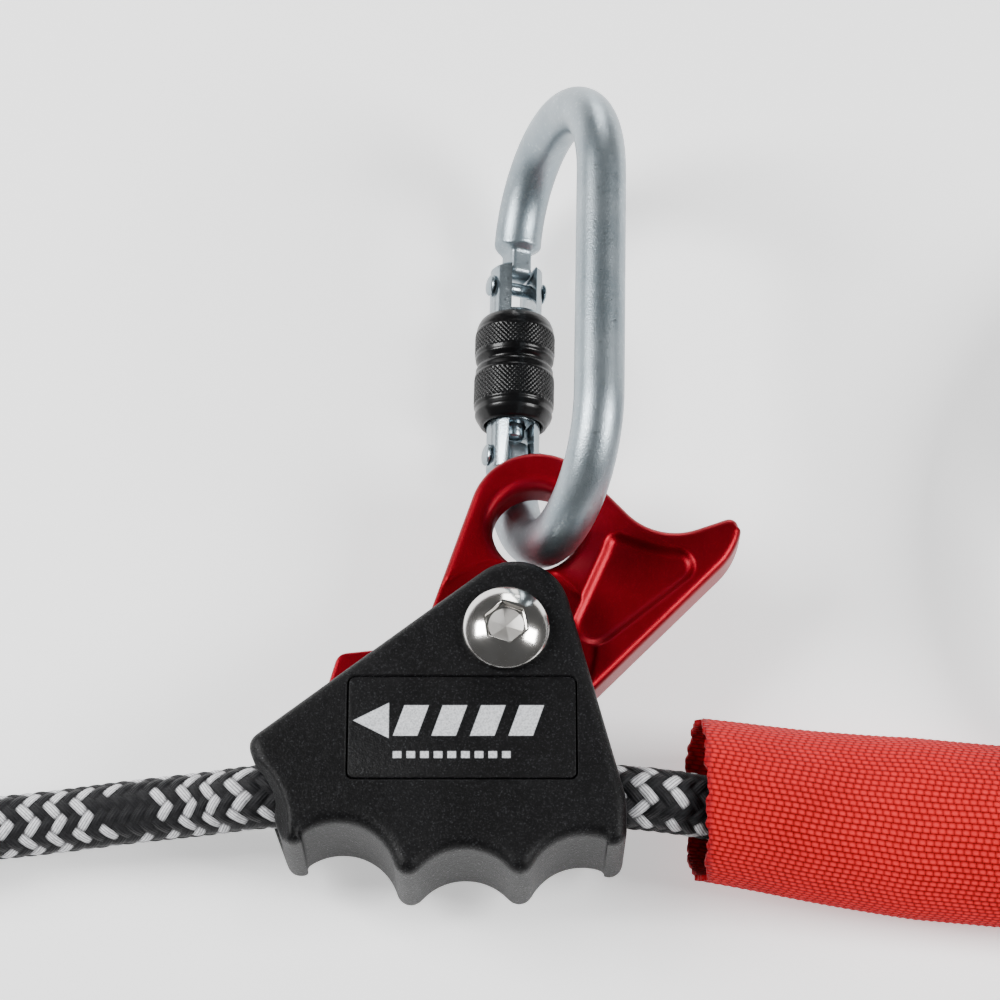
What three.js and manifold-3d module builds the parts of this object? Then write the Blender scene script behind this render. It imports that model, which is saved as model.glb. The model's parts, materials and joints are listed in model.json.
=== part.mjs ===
// A rope grab: a black housing with a red cam lever on a 14 mm rope, and an oval screw-gate karabiner.
// It lies on its back. The cam turns about the Z axis, and z = 0 is the flat face of the rear bolt head.
import * as THREE from 'three';
import { mergeVertices } from 'three/addons/utils/BufferGeometryUtils.js';
import Module from 'manifold-3d';

const wasm = await Module();
wasm.setup();

// ---- driving dimensions, in millimetres ----
const gap = 0.3;                  // left between neighbours that touch on the real thing
const ropeD = 14;                 // kernmantle rope
const ropeR = ropeD / 2;

const rearHeadH = 7.8;            // rear bolt head, which the part lies on
const housingT = 30.5;            // housing thickness
const backZ = rearHeadH;          // housing rear face
const frontZ = backZ + housingT;  // housing front face
const midZ = backZ + housingT / 2;
const edgeR = 2.2;                // rounding of the housing's edges
const grooveR = 12.5;             // finger grooves
const ridgeR = 2.4;               // ridges between them
const slotW = 12.4;               // slot between the two cheeks
const ropeY = -32.8;              // rope axis below the pivot
const boreR = 7.7;                // rope bore
const boreFlareR = 10.6;          // bell mouth of the rope bore
const scoopR = 20.4;              // the left mouth opens further, through both faces
const panelInset = 0.35;          // depth of the outline groove round the label

const boltR = 6;                  // axle
const screwHeadR = 9.45;          // button head
const screwHeadH = 5.6;
const socketAF = 7.6;             // hexagon socket, across flats
const rearHeadAF = 17;            // rear hexagon, across flats
const bushWall = 1.4;
const washerT = 0.6;

const camT = 10;                  // cam inside the slot
const eyeT = 11;                  // cam outside the slot
const eyeX = 6.6;
const eyeY = 27.7;
const eyeR = 9.6;                 // karabiner eye
const eyeRim = 3;                 // rounding of the eye's rims
const camStepR = 19.8;            // the thick part starts at this radius from the pivot
const bossR = boltR + bushWall + gap;

const barR = 5.5;                 // karabiner bar
const karaHalfW = 25.2;           // karabiner, centre to bar centre
const karaStraight = 26.6;        // half of the straight of each leg
const karaBow = 25.2;             // height of each bow above the straight
const karaX = 11.4;               // centre of the karabiner
const karaY = 75.2;
const karaZ = 32.75;
const karaTilt = THREE.MathUtils.degToRad(68.3);
const karaTurn = THREE.MathUtils.degToRad(-1.2);
const gateR = 6.15;
const gateLow = -27.5;            // foot of the gate, along the leg
const gateHigh = 24.3;            // fork tips
const rivetLow = -23.6;           // hinge rivet, along the leg
const rivetHigh = 19.6;           // latch rivet, along the leg
const sleeveLow = -15.6;          // foot of the lock sleeve when unlocked
const sleeveLen = 26.6;
const sleeveR = 9.25;

const tailEndX = -150;            // tail stopper's end
const leadEndX = 166;             // the free rope meets the coil
const coilX = 215;
const coilR = 77;                 // middle of the turns
const turnPitch = 14.3;           // from one turn to the next
const tieT = 1;                   // strap round the coil
const tieW = 14;
const coilLow = tieT + 2 * gap;   // underside of the coil, over the strap
const coilHigh = coilLow + 2 * ropeR + 12.5;
const ropeLowZ = coilLow + ropeR; // rope axis where it lies in the coil
const leadY = -42.5;              // rope axis where it meets the coil
const coilY = leadY + coilR + turnPitch / 2;
const webStartX = 43.2;
const webEndX = 143;
const webT = 1.4;
const stopperR = 10.5;
const tailY = -36.4;
const stopperLen = 34;
const coverStartX = coilX + 94;   // splice cover
const coverLen = 40;
const coverHalfW = 16.2;
const coverHalfH = 8.6;
const eyeLoopR = 19;              // rope axis round the thimble
const eyeLoopX = coverStartX + coverLen + 29;
const endY = leadY - turnPitch;   // the eye end runs beside the coil
const endZ = coverHalfH + 0.2;

// ---- helpers ----
const part = new THREE.Group();
const finishes = {
  powder: new THREE.MeshStandardMaterial({ color: 0x101012, roughness: 0.55, metalness: 0.2 }),
  label: new THREE.MeshStandardMaterial({ color: 0x18181a, roughness: 0.5, metalness: 0.1 }),
  redAlu: new THREE.MeshStandardMaterial({ color: 0x9c0c22, roughness: 0.38, metalness: 0.8 }),
  zinc: new THREE.MeshStandardMaterial({ color: 0xb9c3c8, roughness: 0.35, metalness: 0.9 }),
  stainless: new THREE.MeshStandardMaterial({ color: 0xc9c7c2, roughness: 0.2, metalness: 1 }),
  blackSteel: new THREE.MeshStandardMaterial({ color: 0x0b0b0c, roughness: 0.4, metalness: 0.6 }),
  bronze: new THREE.MeshStandardMaterial({ color: 0x9a6b35, roughness: 0.4, metalness: 0.9 }),
  nylon: new THREE.MeshStandardMaterial({ color: 0x2a2a2c, roughness: 0.5, metalness: 0 }),
  rope: new THREE.MeshStandardMaterial({ color: 0x141416, roughness: 0.9, metalness: 0 }),
  web: new THREE.MeshStandardMaterial({ color: 0xd81c22, roughness: 0.85, metalness: 0 }),
};

function solid(geometry) {
  const bare = geometry.index ? geometry.toNonIndexed() : geometry.clone();
  bare.deleteAttribute('normal');
  bare.deleteAttribute('uv');
  const merged = mergeVertices(bare, 1e-4);
  const corners = merged.index.array;
  const kept = [];
  for (let i = 0; i < corners.length; i += 3) {
    const [a, b, c] = corners.slice(i, i + 3);
    if (a !== b && b !== c && c !== a) kept.push(a, b, c);
  }
  return new wasm.Manifold(new wasm.Mesh({
    numProp: 3,
    vertProperties: new Float32Array(merged.attributes.position.array),
    triVerts: new Uint32Array(kept),
  }));
}

function geometryOf(manifold) {
  const mesh = manifold.getMesh();
  const geometry = new THREE.BufferGeometry();
  geometry.setAttribute('position', new THREE.BufferAttribute(new Float32Array(mesh.vertProperties), 3));
  geometry.setIndex(new THREE.BufferAttribute(new Uint32Array(mesh.triVerts), 1));
  return geometry;
}

function addPiece(name, shape, finish, parent = part) {
  const geometry = shape.isBufferGeometry ? shape : geometryOf(shape);
  const mesh = new THREE.Mesh(geometry, finishes[finish]);
  mesh.name = name;
  parent.add(mesh);
  return mesh;
}

// A flat shape made into a plate from z0 to z1.
function plate(shape, z0, z1) {
  const geometry = new THREE.ExtrudeGeometry(shape, { depth: z1 - z0, bevelEnabled: false });
  geometry.translate(0, 0, z0);
  return geometry;
}

// The outline of a band drawn round a row of circles [x, y, radius, steps], anticlockwise, by their
// common tangents. A negative radius is a hollow that the band dips into. Every circle moves in by inset.
function bandOutline(circles, inset = 0) {
  const n = circles.length;
  const radius = circles.map(([, , r]) => r - inset);
  const leaving = circles.map(([x, y], i) => {
    const [nx, ny] = circles[(i + 1) % n];
    const reach = Math.hypot(nx - x, ny - y);
    const cosine = THREE.MathUtils.clamp((radius[i] - radius[(i + 1) % n]) / reach, -1, 1);
    return Math.atan2(ny - y, nx - x) - Math.acos(cosine);
  });
  const points = [];
  circles.forEach(([x, y, , steps], i) => {
    const from = leaving[(i + n - 1) % n];
    const turn = THREE.MathUtils.euclideanModulo((leaving[i] - from) * Math.sign(radius[i]), 2 * Math.PI);
    const [px, py, pr] = circles[(i + n - 1) % n];
    const apart = Math.hypot(px - x, py - y) - Math.abs(pr) - Math.abs(circles[i][2]);
    const touching = apart < 0.01 && pr * radius[i] < 0;
    for (let k = touching ? 1 : 0; k <= steps; k += 1) {
      const a = from + Math.sign(radius[i]) * turn * k / steps;
      points.push([x + radius[i] * Math.cos(a), y + radius[i] * Math.sin(a)]);
    }
  });
  return points;
}

// The circle of radius r that touches two hollows of radius big from the side that faces +Y.
function between([ax, ay], [bx, by], big, r) {
  const half = Math.hypot(bx - ax, by - ay) / 2;
  const up = Math.sqrt((big + r) ** 2 - half ** 2) / (2 * half);
  return [(ax + bx) / 2 - (by - ay) * up, (ay + by) / 2 + (bx - ax) * up];
}

// A closed body from rings of [x, y] points, each at its own height.
function stacked(rings) {
  const n = rings[0].points.length;
  const positions = rings.flatMap(({ z, points }) => points.flatMap(([x, y]) => [x, y, z]));
  const index = [];
  for (let i = 0; i + 1 < rings.length; i += 1) {
    for (let k = 0; k < n; k += 1) {
      const [a, b] = [i * n + k, i * n + (k + 1) % n];
      index.push(a, b, b + n, a, b + n, a + n);
    }
  }
  const cap = (ring, base, flip) => {
    const contour = ring.points.map(([x, y]) => new THREE.Vector2(x, y));
    THREE.ShapeUtils.triangulateShape(contour, []).forEach(([a, b, c]) => {
      index.push(base + a, base + (flip ? c : b), base + (flip ? b : c));
    });
  };
  cap(rings[0], 0, true);
  cap(rings[rings.length - 1], (rings.length - 1) * n, false);
  const geometry = new THREE.BufferGeometry();
  geometry.setAttribute('position', new THREE.Float32BufferAttribute(positions, 3));
  geometry.setIndex(index);
  return geometry;
}

// A plate with a band outline and edges rounded by r.
function roundedPlate(circles, z0, z1, r, steps) {
  const quarter = Array.from({ length: steps + 1 }, (_, i) => Math.PI / 2 * i / steps);
  const rising = quarter.map((a) => ({ z: z0 + r * (1 - Math.sin(a)), inset: r * (1 - Math.cos(a)) }));
  const low = rising.reverse();
  const high = quarter.map((a) => ({ z: z1 - r * (1 - Math.sin(a)), inset: r * (1 - Math.cos(a)) }));
  return stacked([...low, ...high].map(({ z, inset }) => ({ z, points: bandOutline(circles, inset) })));
}

function rod(r, z0, z1, sides = 32, x = 0, y = 0) {
  const geometry = new THREE.CylinderGeometry(r, r, z1 - z0, sides);
  geometry.rotateX(Math.PI / 2);
  geometry.translate(x, y, (z0 + z1) / 2);
  return geometry;
}

function hexagon(acrossFlats, turn = 0) {
  const r = acrossFlats / Math.sqrt(3);
  const corners = [0, 1, 2, 3, 4, 5].map((i) => {
    const a = turn + i * Math.PI / 3;
    return new THREE.Vector2(r * Math.cos(a), r * Math.sin(a));
  });
  return new THREE.Shape(corners);
}

// A profile of [radius, height] pairs turned about Z.
function turned(profile, sides = 40) {
  const points = profile.map(([r, z]) => new THREE.Vector2(r, z));
  const geometry = new THREE.LatheGeometry(points, sides);
  geometry.rotateX(Math.PI / 2);
  return geometry;
}

function polygon(points) {
  return new THREE.Shape(points.map(([x, y]) => new THREE.Vector2(x, y)));
}

// Points of an arc, as [x, y] pairs, from one angle to another in degrees.
function arc(cx, cy, r, from, to, steps) {
  return Array.from({ length: steps + 1 }, (_, i) => {
    const a = THREE.MathUtils.degToRad(from + (to - from) * i / steps);
    return [cx + r * Math.cos(a), cy + r * Math.sin(a)];
  });
}

function circle(cx, cy, r, sides = 40) {
  return polygon(arc(cx, cy, r, 0, 360, sides).slice(0, -1));
}

// A round section carried along a path of points, with closed ends.
function tube(points, r, sides, steps) {
  const path = new THREE.CatmullRomCurve3(points, false, 'centripetal');
  const section = circle(0, 0, r, sides);
  return new THREE.ExtrudeGeometry(section, { extrudePath: path, steps, bevelEnabled: false });
}

const vec = (x, y, z) => new THREE.Vector3(x, y, z);

// ---- housing ----
// The outline: a round apex over the pivot, a long slope to the left, and three finger grooves below.
function housingCircles() {
  const grooves = [[-35.6, -55.2], [-8.8, -60.9], [16.6, -57.9]];
  const ridges = [0, 1].map((i) => between(grooves[i], grooves[i + 1], grooveR, ridgeR));
  const hollow = ([x, y]) => [x, y, -grooveR, 9];
  const ridge = ([x, y]) => [x, y, ridgeR, 4];
  return [
    [2, 4.6, 12, 14],
    [-49.9, -23.2, 3.2, 6],
    [-45, -44.6, 2.5, 5],
    hollow(grooves[0]), ridge(ridges[0]), hollow(grooves[1]), ridge(ridges[1]), hollow(grooves[2]),
    [22.8, -44.9, 2.6, 5],
    [16.2, -38.6, 9.4, 4],
  ];
}

// The slot: everything the cam sweeps between the cheeks, open at the top, the slope and the right side.
function slotOutline() {
  return polygon([
    [60, -10], [60, 40], [-60, 40], [-60, -14],
    ...arc(0, 0, 43.5, 199, 214, 4),
    [-34, ropeY + 2], [-3, ropeY + 2], [-1, -23.5], [12, -18], [30, -14.5],
  ]);
}

function ropeBore() {
  const half = 64;
  const flareLen = 9;
  const leftEnd = -52.4;
  const rightEnd = 25.4;
  const leftMouth = [
    [scoopR, leftEnd - 1], [15.8, leftEnd + 5.6], [11.6, leftEnd + 7.4], [9, leftEnd + 8.6],
    [boreR, leftEnd + 11]];
  const rightMouth = arc(0, 0, 1, 90, 0, 4).map(([x, y]) => [
    boreFlareR - (boreFlareR - boreR) * y, rightEnd + flareLen * (x - 1)]);
  const profile = [
    [0, -half], [scoopR, -half], ...leftMouth, ...rightMouth, [boreFlareR, half], [0, half]];
  const geometry = turned(profile, 28);
  geometry.rotateY(Math.PI / 2);
  geometry.translate(0, ropeY, midZ);
  return geometry;
}

const panel = { x0: -34, x1: 15.2, y0: -33.7, y1: -10.5, r: 1.4 };

function panelShape(inset) {
  const { x0, x1, y0, y1, r } = panel;
  return polygon([
    ...arc(x1 - inset - r, y1 - inset - r, r, 0, 90, 4),
    ...arc(x0 + inset + r, y1 - inset - r, r, 90, 180, 4),
    ...arc(x0 + inset + r, y0 + inset + r, r, 180, 270, 4),
    ...arc(x1 - inset - r, y0 + inset + r, r, 270, 360, 4),
  ]);
}

const springPocketR = 9.9;
const springPocketDepth = 4.4;
const labelDepth = 0.9;

function makeHousing() {
  const cheekInner = midZ - slotW / 2;
  let body = solid(roundedPlate(housingCircles(), backZ, frontZ, edgeR, 3));
  body = body.subtract(solid(plate(slotOutline(), cheekInner, midZ + slotW / 2)));
  body = body.subtract(solid(ropeBore()));
  body = body.subtract(solid(rod(boltR + gap, 0, frontZ + 5, 28)));
  body = body.subtract(solid(rod(springPocketR, cheekInner - springPocketDepth, midZ, 28)));
  body = body.subtract(solid(plate(panelShape(0), frontZ - labelDepth, frontZ + 5)));
  return body;
}

// ---- pivot ----
function makePivotBolt() {
  const head = solid(plate(hexagon(rearHeadAF, 0.2), 0, rearHeadH - gap));
  const shank = solid(rod(boltR, rearHeadH - gap - 1, frontZ - 1, 24));
  const thread = solid(rod(3.2, frontZ - 16, frontZ + 5, 14));
  return head.add(shank).subtract(thread);
}

function makePivotScrew() {
  const rim = 1.1;
  const base = frontZ + gap;
  const rise = screwHeadH - rim;
  const domeR = (screwHeadR ** 2 + rise ** 2) / (2 * rise);
  const sweep = THREE.MathUtils.radToDeg(Math.asin(screwHeadR / domeR));
  const dome = arc(0, base + screwHeadH - domeR, domeR, 90 - sweep, 86, 6);
  const shank = [[0, frontZ - 14], [2.9, frontZ - 14], [2.9, base]];
  const edge = [[screwHeadR - 0.3, base], [screwHeadR, base + 0.3]];
  const profile = [...shank, ...edge, ...dome, [0, base + screwHeadH]];
  const socket = solid(plate(hexagon(socketAF, -0.35), base + 1.6, base + 10));
  const point = solid(turned([[0, base + 0.5], [socketAF / 2, base + 1.7], [0, base + 1.8]], 12));
  return solid(turned(profile, 28)).subtract(socket).subtract(point);
}

function washer(z) {
  const ring = circle(0, 0, 9.2, 22);
  ring.holes.push(circle(0, 0, boltR + gap, 18));
  return plate(ring, z, z + washerT);
}

function makeBushing() {
  const ring = circle(0, 0, boltR + bushWall, 20);
  ring.holes.push(circle(0, 0, boltR + gap, 20));
  return plate(ring, midZ - camT / 2 + 0.2, midZ + camT / 2 - 0.2);
}

// A torsion spring in the pocket behind the cam.
function makeCamSpring() {
  const wireR = 0.55;
  const turns = 2.6;
  const coilMid = 8.2;
  const bottom = midZ - slotW / 2 - springPocketDepth + wireR + 0.25;
  const rise = 2.5;
  const points = Array.from({ length: 29 }, (_, i) => {
    const t = i / 28;
    const a = t * turns * 2 * Math.PI;
    return vec(coilMid * Math.cos(a), coilMid * Math.sin(a), bottom + rise * t);
  });
  return tube(points, wireR, 6, 40);
}

// ---- cam ----
// The whole lever: eye boss at the top, toe to the lower left, rope side below, horn to the right.
const camCircles = [
  [7, 30.6, 15.2, 13],
  [-25, 7.2, -7.6, 4],
  [-34.7, -4.2, 2.7, 4],
  [-35.2, -14.4, 5, 4],
  [-12, 5.2, 30.6, 8],
  [4, -6.6, 13.4, 4],
  [34.5, 30.9, 18.2, 7],
  [49.7, 28, 2, 5],
  [37.6, 40.9, -14.2, 6],
];

// Grooves across the rope side, which leave the teeth.
function toothCutters() {
  const [cx, cy, r] = camCircles[4];
  const angles = Array.from({ length: 7 }, (_, i) => THREE.MathUtils.degToRad(229 + i * 7));
  const out = r + 0.1;
  return angles.map((a) => solid(rod(1.1, 0, 60, 6, cx + out * Math.cos(a), cy + out * Math.sin(a))));
}

// The shallow recess in each face of the horn, with a sloping wall.
const recessDepth = 1.6;
const recessCircles = [
  [24.6, 23.6, 2.2, 5],
  [6.6, 27.7, -16.2, 5],
  [19.4, 4.9, 4.7, 7],
  [37.5, 18.4, 3.9, 7],
  [37.6, 40.9, -18.5, 5],
];

function recessCutter(face, sign) {
  const rows = [[0, 2], [0.5, 1.1], [1.1, 0.45], [recessDepth, 0], [recessDepth + 3, 0]];
  const rings = rows.map(([rise, inset]) => (
    { z: face + sign * rise, points: bandOutline(recessCircles, inset) }));
  return solid(stacked(sign > 0 ? rings : rings.reverse()));
}

// The eye: a hole whose rims are rounded over at both faces.
function eyeCutter() {
  const rim = eyeRim;
  const z0 = midZ - eyeT / 2;
  const z1 = midZ + eyeT / 2;
  const low = arc(eyeR + rim, z0 + rim, rim, 270, 180, 4);
  const high = arc(eyeR + rim, z1 - rim, rim, 180, 90, 4);
  const profile = [
    [0, z0 - 4], [eyeR + rim, z0 - 4], ...low, ...high, [eyeR + rim, z1 + 4], [0, z1 + 4]];
  const geometry = turned(profile, 36);
  geometry.translate(eyeX, eyeY, 0);
  return solid(geometry);
}

// The faces are lower where the cam runs between the cheeks.
function cheekCutters() {
  const lowerFaces = [[0, midZ - camT / 2], [midZ + camT / 2, 60]];
  return lowerFaces.flatMap(([z0, z1]) => [
    solid(plate(circle(0, 0, camStepR, 56), z0, z1)),
    solid(plate(polygon([[-60, -60], [10, -60], [10, 8], [-60, 8]]), z0, z1)),
  ]);
}

function makeCam() {
  const whole = solid(roundedPlate(camCircles, midZ - eyeT / 2, midZ + eyeT / 2, 1.4, 3));
  const cutters = [
    ...toothCutters(), ...cheekCutters(), eyeCutter(), solid(rod(bossR, 0, 60, 24)),
    recessCutter(midZ + eyeT / 2 - recessDepth, 1), recessCutter(midZ - eyeT / 2 + recessDepth, -1)];
  return cutters.reduce((body, cutter) => body.subtract(cutter), whole);
}

// ---- karabiner, in its own frame: X across from gate to spine, Y along the legs, Z out of its plane ----
const karabiner = new THREE.Group();
karabiner.position.set(karaX, karaY, karaZ);
karabiner.rotation.set(0, -karaTilt, karaTurn, 'ZYX');
part.add(karabiner);

// The bar's axis: from the nose over the top bow, down the spine and round the bottom bow to the tongue.
function barPath(nose, tongue) {
  const bow = (side, end, steps) => {
    const spare = Math.asin((Math.abs(end) - karaStraight) / karaBow);
    return Array.from({ length: steps + 1 }, (_, i) => {
      const a = (Math.PI - spare) * (1 - i / steps);
      return vec(karaHalfW * Math.cos(a), side * (karaStraight + karaBow * Math.sin(a)), 0);
    });
  };
  return [
    ...bow(1, nose, 14),
    vec(karaHalfW, 9, 0), vec(karaHalfW, -9, 0),
    ...bow(-1, tongue, 14).reverse(),
  ];
}

const noseRound = 29.4;           // the bar is full and round above this
const keyT = 5.4;                 // thickness of the nose key and the hinge tongue
const tongueRound = -30.6;        // and below this on the hinge side
const tongueR = 4.2;              // tongue end, round the hinge rivet
const plungerRise = 2;            // how fast its lobe lifts the plunger, in mm a radian
const pinR = 1.6;

function makeKarabinerBody() {
  const bar = solid(tube(barPath(noseRound, tongueRound), barR, 14, 56));
  const key = solid(plate(polygon([
    [-karaHalfW - 3.8, noseRound + 2], [-karaHalfW - 3.8, rivetHigh - 0.4],
    [-karaHalfW - 2.1, rivetHigh - 0.4], [-karaHalfW - 1.9, rivetHigh + 2],
    [-karaHalfW + 2.6, rivetHigh + 2], [-karaHalfW + 3.8, rivetHigh + 3.4], [-karaHalfW + 3.8, noseRound + 2],
  ]), -keyT / 2, keyT / 2));
  const lobe = Array.from({ length: 11 }, (_, i) => {
    const a = Math.PI * i / 10;
    const r = tongueR + plungerRise * Math.max(0, Math.PI / 2 - a) * Math.min(1, a / 0.5);
    return [-karaHalfW + r * Math.cos(a), rivetLow + r * Math.sin(a)];
  });
  const tongue = solid(plate(polygon([
    [-karaHalfW - 4, tongueRound - 2], [-karaHalfW + 4.2, tongueRound - 2], ...lobe,
  ]), -keyT / 2, keyT / 2)).subtract(solid(rod(pinR + 0.15, -10, 10, 12, -karaHalfW, rivetLow)));
  return bar.add(key).add(tongue);
}

function alongLeg(geometry) {
  geometry.rotateX(-Math.PI / 2);
  geometry.translate(-karaHalfW, 0, 0);
  return geometry;
}

const springBoreR = 3.1;
const springLow = -12;
const springHigh = 9;

function makeGate() {
  const edge = 0.5;
  let body = solid(alongLeg(turned([
    [0, gateLow], [gateR - edge, gateLow], [gateR, gateLow + edge],
    [gateR, gateHigh - edge], [gateR - edge, gateHigh], [0, gateHigh]], 24)));
  const fork = keyT / 2 + gap + 0.1;
  const slot = (y0, y1) => solid(plate(polygon([
    [-karaHalfW - 12, y0], [-karaHalfW + 12, y0], [-karaHalfW + 12, y1], [-karaHalfW - 12, y1],
  ]), -fork, fork));
  body = body.subtract(slot(rivetHigh - 7.2, gateHigh + 5));
  body = body.subtract(slot(gateLow - 5, rivetLow + 8));
  body = body.subtract(solid(alongLeg(rod(springBoreR, rivetLow, springHigh + 0.4, 12))));
  body = body.subtract(solid(rod(pinR + 0.15, -20, 20, 12, -karaHalfW, rivetHigh)));
  return body.subtract(solid(rod(pinR + 0.15, -20, 20, 12, -karaHalfW, rivetLow)));
}

function makeRivet(y) {
  const half = gateR + gap;
  const headR = 2.5;
  const head = 0.85;
  const outward = [
    [pinR, half - 0.1], [headR, half - 0.1], [headR, half + 0.2], [headR * 0.6, half + head * 0.85],
    [0, half + head]];
  const profile = [...outward.map(([r, z]) => [r, -z]).reverse(), ...outward];
  const geometry = turned(profile, 12);
  geometry.translate(-karaHalfW, y, 0);
  return geometry;
}

function makeGateSpring() {
  const wireR = 0.4;
  const turns = 6;
  const steps = turns * 8;
  const points = Array.from({ length: steps + 1 }, (_, i) => {
    const a = i / 8 * 2 * Math.PI;
    const y = springLow + 1 + (springHigh - springLow - 2) * i / steps;
    return vec(-karaHalfW + 2.3 * Math.cos(a), y, 2.3 * Math.sin(a));
  });
  return tube(points, wireR, 5, steps);
}

// The plunger stands on the tongue and its stem goes up inside the spring.
function makePlunger() {
  const foot = rivetLow + tongueR + gap;
  return alongLeg(turned([
    [0, foot], [2.2, foot + 0.3], [2.6, foot + 1.2], [2.6, springLow - gap], [1.5, springLow - gap],
    [1.5, springLow + 5], [0, springLow + 5]], 12));
}

// The screw sleeve: a domed shoulder, two knurled bands with a groove between them, and a chamfered foot.
function makeLockSleeve() {
  const y = (t) => sleeveLow + sleeveLen * t;
  const inner = gateR + 0.35;
  const wide = 7.6;
  return alongLeg(turned([
    [inner, y(0.02)], [inner + 0.3, y(0)], [7.5, y(0)], [8.9, y(0.1)], [sleeveR, y(0.2)],
    [sleeveR, y(0.52)], [8.2, y(0.56)], [8.2, y(0.6)], [sleeveR, y(0.65)],
    [sleeveR, y(0.92)], [8.5, y(0.98)], [wide + 0.2, y(1)], [wide, y(0.98)], [wide, y(0.5)], [inner, y(0.45)],
    [inner, y(0.02)]], 26));
}

// ---- rope and what is on it ----
// The rope drops from the bore to the table on each side.
const tailRoute = [
  [tailEndX + stopperLen - 6, tailY, stopperR], [tailEndX + stopperLen + 3, tailY, stopperR],
  [-98, -35, 11], [-82, -33.6, 13.4],
  [-66, -32.9, 17.2], [-52, ropeY, midZ - 0.6], [-30, ropeY, midZ], [-0.2, ropeY, midZ],
];
const leadRoute = [
  [0.2, ropeY, midZ], [20, ropeY, midZ], [32, -33.4, midZ - 0.8], [48, -34.6, 18], [70, -36.6, 13],
  [95, -38.9, 10.8], [120, -41, 10.3], [145, leadY, 10.1], [leadEndX, leadY, 9.6],
];

function ropeTube(route, steps) {
  return tube(route.map(([x, y, z]) => vec(x, y, z)), ropeR, 10, steps);
}

function makeTailStop() {
  const y = (t) => tailEndX + stopperLen * t;
  const geometry = turned([
    [0, y(0)], [8.4, y(0)], [9.8, y(0.03)], [stopperR, y(0.12)], [stopperR, y(0.72)], [9.2, y(0.86)],
    [8.4, y(1)], [ropeR + gap, y(1)], [ropeR + gap, y(0.8)], [0, y(0.8)]], 20);
  geometry.rotateY(Math.PI / 2);
  geometry.translate(0, tailY, stopperR);
  return geometry;
}

// Flattened tubular webbing round the rope: a lens that is open through its length.
function webSection(x) {
  const t = (x - webStartX) / (webEndX - webStartX);
  const half = THREE.MathUtils.lerp(18.4, 20.6, Math.min(1, t * 2.2));
  const rise = THREE.MathUtils.lerp(10.2, 8.8, t);
  return { half, rise };
}

function routeAt(route, x) {
  const i = Math.max(1, route.findIndex((p) => p[0] >= x));
  const [a, b] = [route[i - 1], route[i]];
  const t = (x - a[0]) / (b[0] - a[0]);
  return [THREE.MathUtils.lerp(a[1], b[1], t), THREE.MathUtils.lerp(a[2], b[2], t)];
}

function makeWebProtector() {
  const stations = 8;
  const around = 18;
  const positions = [];
  const index = [];
  for (let i = 0; i <= stations; i += 1) {
    const x = THREE.MathUtils.lerp(webStartX, webEndX, i / stations);
    const [cy, ropeZ] = routeAt(leadRoute, x);
    const { half, rise } = webSection(x);
    const cz = Math.max(ropeZ, rise + webT + 0.1);
    for (const wall of [0, webT]) {
      for (let k = 0; k < around; k += 1) {
        const a = k / around * 2 * Math.PI;
        positions.push(x, cy + (half + wall) * Math.cos(a), cz + (rise + wall) * Math.sin(a));
      }
    }
  }
  const ring = (i, wall, k) => (i * 2 + wall) * around + (k % around);
  const quad = (a, b, c, d) => index.push(a, b, c, a, c, d);
  for (let k = 0; k < around; k += 1) {
    for (let i = 0; i < stations; i += 1) {
      quad(ring(i, 1, k), ring(i, 1, k + 1), ring(i + 1, 1, k + 1), ring(i + 1, 1, k));
      quad(ring(i, 0, k + 1), ring(i, 0, k), ring(i + 1, 0, k), ring(i + 1, 0, k + 1));
    }
    quad(ring(0, 0, k), ring(0, 0, k + 1), ring(0, 1, k + 1), ring(0, 1, k));
    quad(ring(stations, 1, k), ring(stations, 1, k + 1), ring(stations, 0, k + 1), ring(stations, 0, k));
  }
  const geometry = new THREE.BufferGeometry();
  geometry.setAttribute('position', new THREE.Float32BufferAttribute(positions, 3));
  geometry.setIndex(index);
  return geometry;
}

// The stored turns: one ring of their outer shape.
function makeCoil() {
  const inner = coilR - turnPitch / 2 - ropeR;
  const outer = coilR + turnPitch / 2 + ropeR;
  const c = 4;
  const geometry = turned([
    [inner, coilLow + c], [inner + c, coilLow], [outer - c, coilLow], [outer, coilLow + c],
    [outer, coilHigh - c * 2], [outer - c * 2.4, coilHigh], [inner + c * 2.4, coilHigh],
    [inner, coilHigh - c * 2], [inner, coilLow + c]], 40);
  geometry.translate(coilX, coilY, 0);
  return geometry;
}

// A strap round the bundle of turns, at the far side of the coil.
function makeCoilTie() {
  const half = turnPitch / 2 + ropeR + gap + 0.5;
  const section = (grow) => polygon([
    ...arc(half - 4, coilLow - gap + 4, 4 + grow, 270, 360, 4),
    ...arc(half - 9, coilHigh + gap - 9, 9 + grow, 0, 90, 5),
    ...arc(-half + 9, coilHigh + gap - 9, 9 + grow, 90, 180, 5),
    ...arc(-half + 4, coilLow - gap + 4, 4 + grow, 180, 270, 4),
  ]);
  const strap = section(tieT);
  strap.holes.push(section(0));
  const geometry = plate(strap, -tieW / 2, tieW / 2);
  geometry.rotateX(Math.PI / 2);
  geometry.rotateZ(-Math.PI / 2);
  geometry.translate(coilX, coilY + coilR, 0);
  return geometry;
}

// The rope comes off the coil, down to the table beside it, and on to the splice.
const endRoute = [
  [coilX + 14, endY, endZ + 6], [coilX + 30, endY, endZ + 2.4], [coilX + 48, endY, endZ + 0.3],
  [coverStartX - 14, endY, endZ], [coverStartX - 4, endY, endZ], [coverStartX - gap, endY, endZ],
];

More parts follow.
